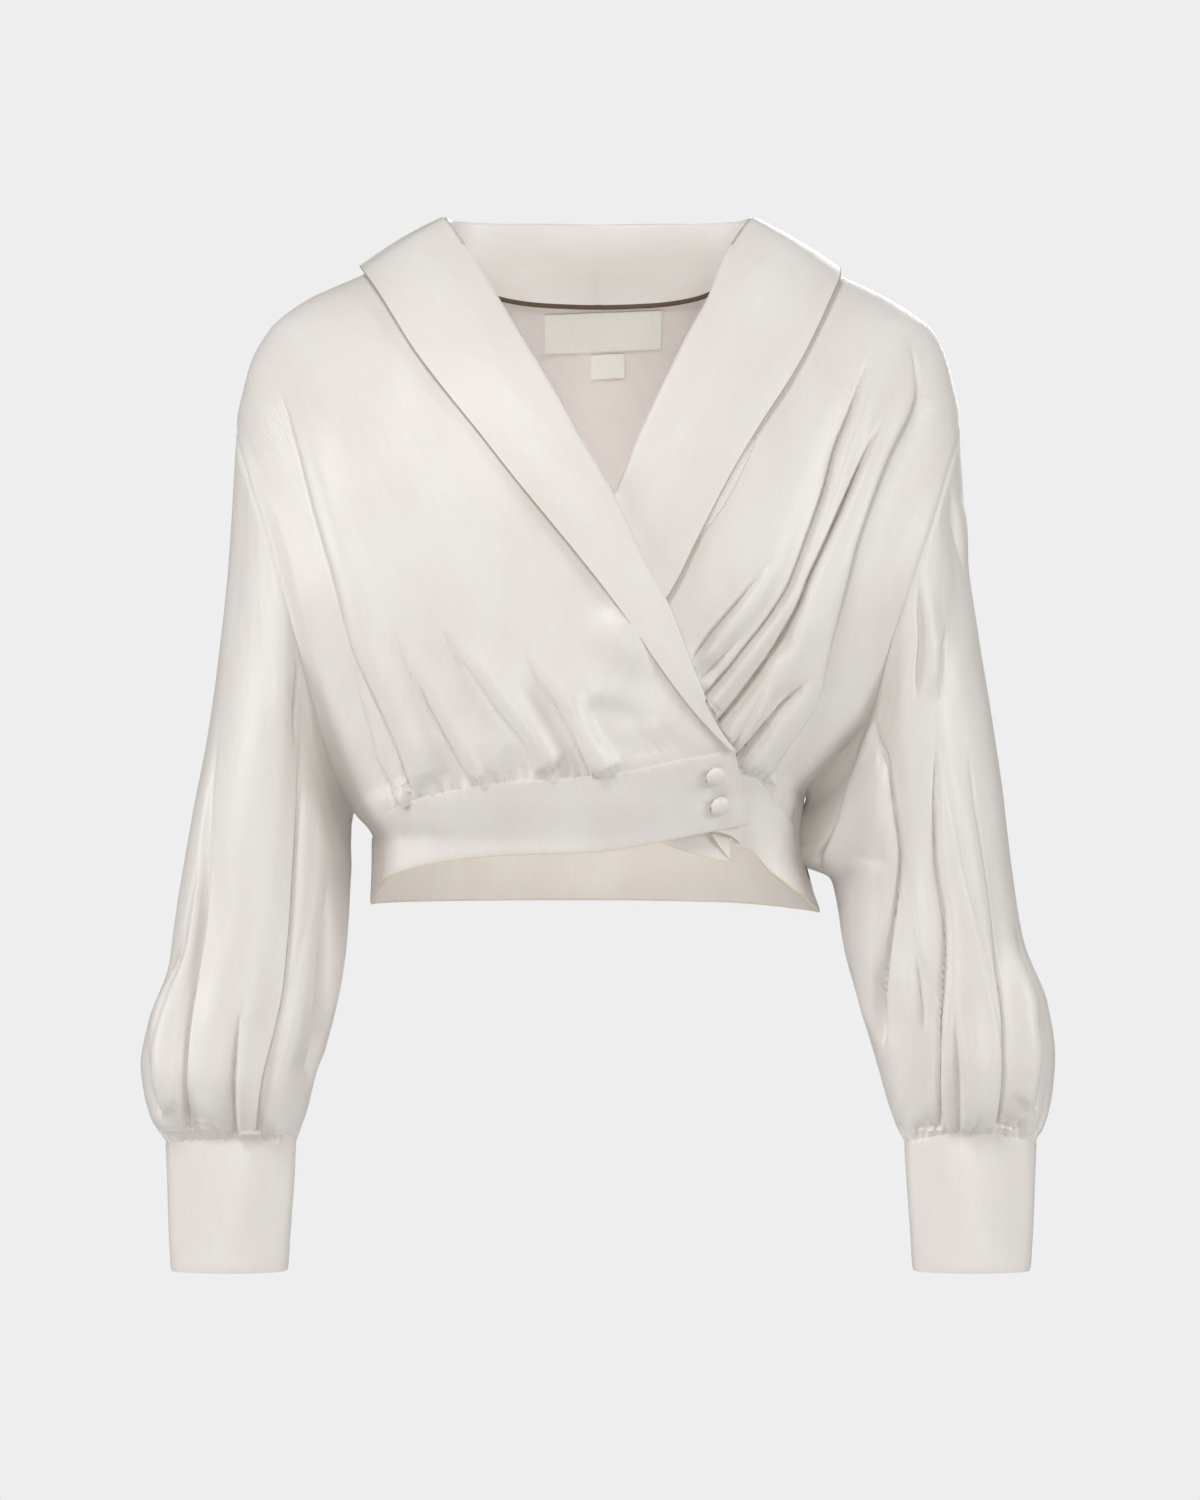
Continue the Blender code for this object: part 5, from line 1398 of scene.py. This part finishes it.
pieces["stitches_band"] = stitches("stitches_band", [
    row_line(bands["right"], 1), (bands["right"][0][1:-1, -3], bands["right"][1][1:-1, -3]),
    row_line(bands["left"], 1), row_line(bands["back"], 1)])
for side in ("right", "left"):
    name = f"stitches_cuff_{side}"
    pieces[name] = stitches(name, [row_line(cuffs[side], 1)])

# %% Buttonholes
HOLES = {"buttonhole_upper": (68.6, -340.6), "buttonhole_lower": (71.2, -359.2)}
HOLE_LONG = 7.0
HOLE_WIDE = 0.9
BAR_HALF = 1.7
RING_PROUD = 1.0
BAR_PROUD = 1.1


def buttonhole(name, x, z):
    turn = np.linspace(0, math.tau, 60)
    xs = x + HOLE_LONG / 2 * (1 - np.cos(turn))
    zs = z + 0.08 * (xs - x) + HOLE_WIDE * np.sin(turn)
    normal = form_normal("front", xs, zs)
    ring = lifted(xs, zs, overlap(xs, zs)) + normal * (BAND_PROUD + RING_PROUD)
    bar_z = np.linspace(z - BAR_HALF, z + BAR_HALF, 12)
    bar_x = np.full(12, x)
    bar_out = form_normal("front", bar_x, bar_z)
    bar = lifted(bar_x, bar_z, overlap(bar_x, bar_z)) + bar_out * (BAND_PROUD + BAR_PROUD)
    # The darker thread paints the shade of the slot
    return stitches(name, [(ring, normal), (bar, bar_out)], long=0.9, pitch=0.5, thick=0.55,
                    thread=HOLE_SHADE_THREAD)


for name, spot in HOLES.items():
    pieces[name] = buttonhole(name, *spot)

# %% [markdown]
# ## What the cloth is
# A record is defined for a sheet's width and length on the cutting table, its
# area, how it is held and what it rests on. No sheet is given one here. The
# strip at the neck is declared 10 mm wide, and its area says that about 3 mm
# shows.

# %% Sheets of cloth
Cut = namedtuple("Cut", "wide long area held rests_on")

# %% [markdown]
# ## Studio
# The photo has a plain light ground and very soft light from the front. Large
# lamps stand high in front, low in front, at both sides and behind, a small
# one lights the inside, and a faint warm sky gives the rest. The camera looks
# level at the blouse from 3.2 m.

# %% Floor
FLOOR_RADIUS = 1.35
FLOOR_THICK = 0.01
FLOOR_TOP = -1.3
bpy.ops.object.select_all(action="DESELECT")
bpy.ops.mesh.primitive_cylinder_add(
    vertices=96, radius=FLOOR_RADIUS, depth=FLOOR_THICK, location=(0, 0, FLOOR_TOP - FLOOR_THICK / 2))
floor = bpy.context.active_object
floor.name = "floor"
paper = bpy.data.materials.new("paper")
paper.use_nodes = True
paper.node_tree.nodes["Principled BSDF"].inputs["Base Color"].default_value = (0.84, 0.84, 0.84, 1)
paper.node_tree.nodes["Principled BSDF"].inputs["Roughness"].default_value = 0.9
floor.data.materials.append(paper)
print("floor at", FLOOR_TOP, "m")

# %% Lamps
MIDDLE = Vector((0.0, 0.0, -0.32))
Lamp = namedtuple("Lamp", "place size power color")
LAMPS = {
    "key": Lamp((-0.8, -2.6, 2.2), 1.2, 48, (0.99, 0.99, 1.0)),
    "front": Lamp((0.2, -3.9, -0.6), 1.0, 27, (1.0, 0.99, 0.975)),
    "left_side": Lamp((-3.0, -1.1, 0.3), 1.2, 40, (0.97, 0.985, 1.0)),
    "right_side": Lamp((2.9, -1.4, 0.5), 1.2, 42, (0.95, 0.975, 1.0)),
    "behind": Lamp((0.8, 3.2, 0.9), 1.6, 42, (1.0, 0.99, 0.975))}
for name, lamp in LAMPS.items():
    bpy.ops.object.light_add(type="AREA", location=lamp.place)
    light = bpy.context.active_object
    light.name = name
    light.data.size = lamp.size
    light.data.energy = lamp.power
    light.data.color = lamp.color
    light.rotation_euler = (MIDDLE - Vector(lamp.place)).to_track_quat("-Z", "Y").to_euler()

# The inside was lit evenly in the photo, so a small lamp in the hollow shines on the back
INSIDE_LAMP = Lamp((0.0, -0.055, -0.28), 0.13, 0.36, (1.0, 1.0, 1.0))
bpy.ops.object.light_add(type="AREA", location=INSIDE_LAMP.place, rotation=(math.radians(66), 0, math.pi))
inner = bpy.context.active_object
inner.name = "inside"
inner.data.shape = "RECTANGLE"
inner.data.size = INSIDE_LAMP.size
inner.data.size_y = 0.26
inner.data.energy = INSIDE_LAMP.power
inner.data.color = INSIDE_LAMP.color
inner.data.spread = math.radians(110)
inner.visible_camera = False
print("lamps", len(LAMPS) + 1)

# %% Sky and camera
scene = bpy.context.scene
world = bpy.data.worlds.new("studio")
scene.world = world
world.use_nodes = True
tree = world.node_tree
sky = tree.nodes["Background"]
sky.inputs["Color"].default_value = (1.0, 0.90, 0.80, 1)
sky.inputs["Strength"].default_value = 0.2
ground = tree.nodes.new("ShaderNodeBackground")
ground.inputs["Color"].default_value = (0.855, 0.855, 0.855, 1)
seen = tree.nodes.new("ShaderNodeLightPath")
choose = tree.nodes.new("ShaderNodeMixShader")
tree.links.new(seen.outputs["Is Camera Ray"], choose.inputs["Fac"])
tree.links.new(sky.outputs["Background"], choose.inputs[1])
tree.links.new(ground.outputs["Background"], choose.inputs[2])
tree.links.new(choose.outputs["Shader"], tree.nodes["World Output"].inputs["Surface"])
scene.view_settings.view_transform = "Standard"

CAMERA_AWAY = 3.2
CAMERA_X = 0.0013
CAMERA_Z = -0.322
VIEW_TALL = 0.99
SENSOR = 36.0
bpy.ops.object.camera_add(location=(CAMERA_X, -CAMERA_AWAY, CAMERA_Z), rotation=(math.pi / 2, 0, 0))
camera = bpy.context.active_object
camera.name = "camera"
camera.data.sensor_fit = "VERTICAL"
camera.data.sensor_height = SENSOR
camera.data.lens = SENSOR * CAMERA_AWAY / VIEW_TALL
scene.camera = camera
print("camera", CAMERA_AWAY, "m away, lens", round(camera.data.lens), "mm")
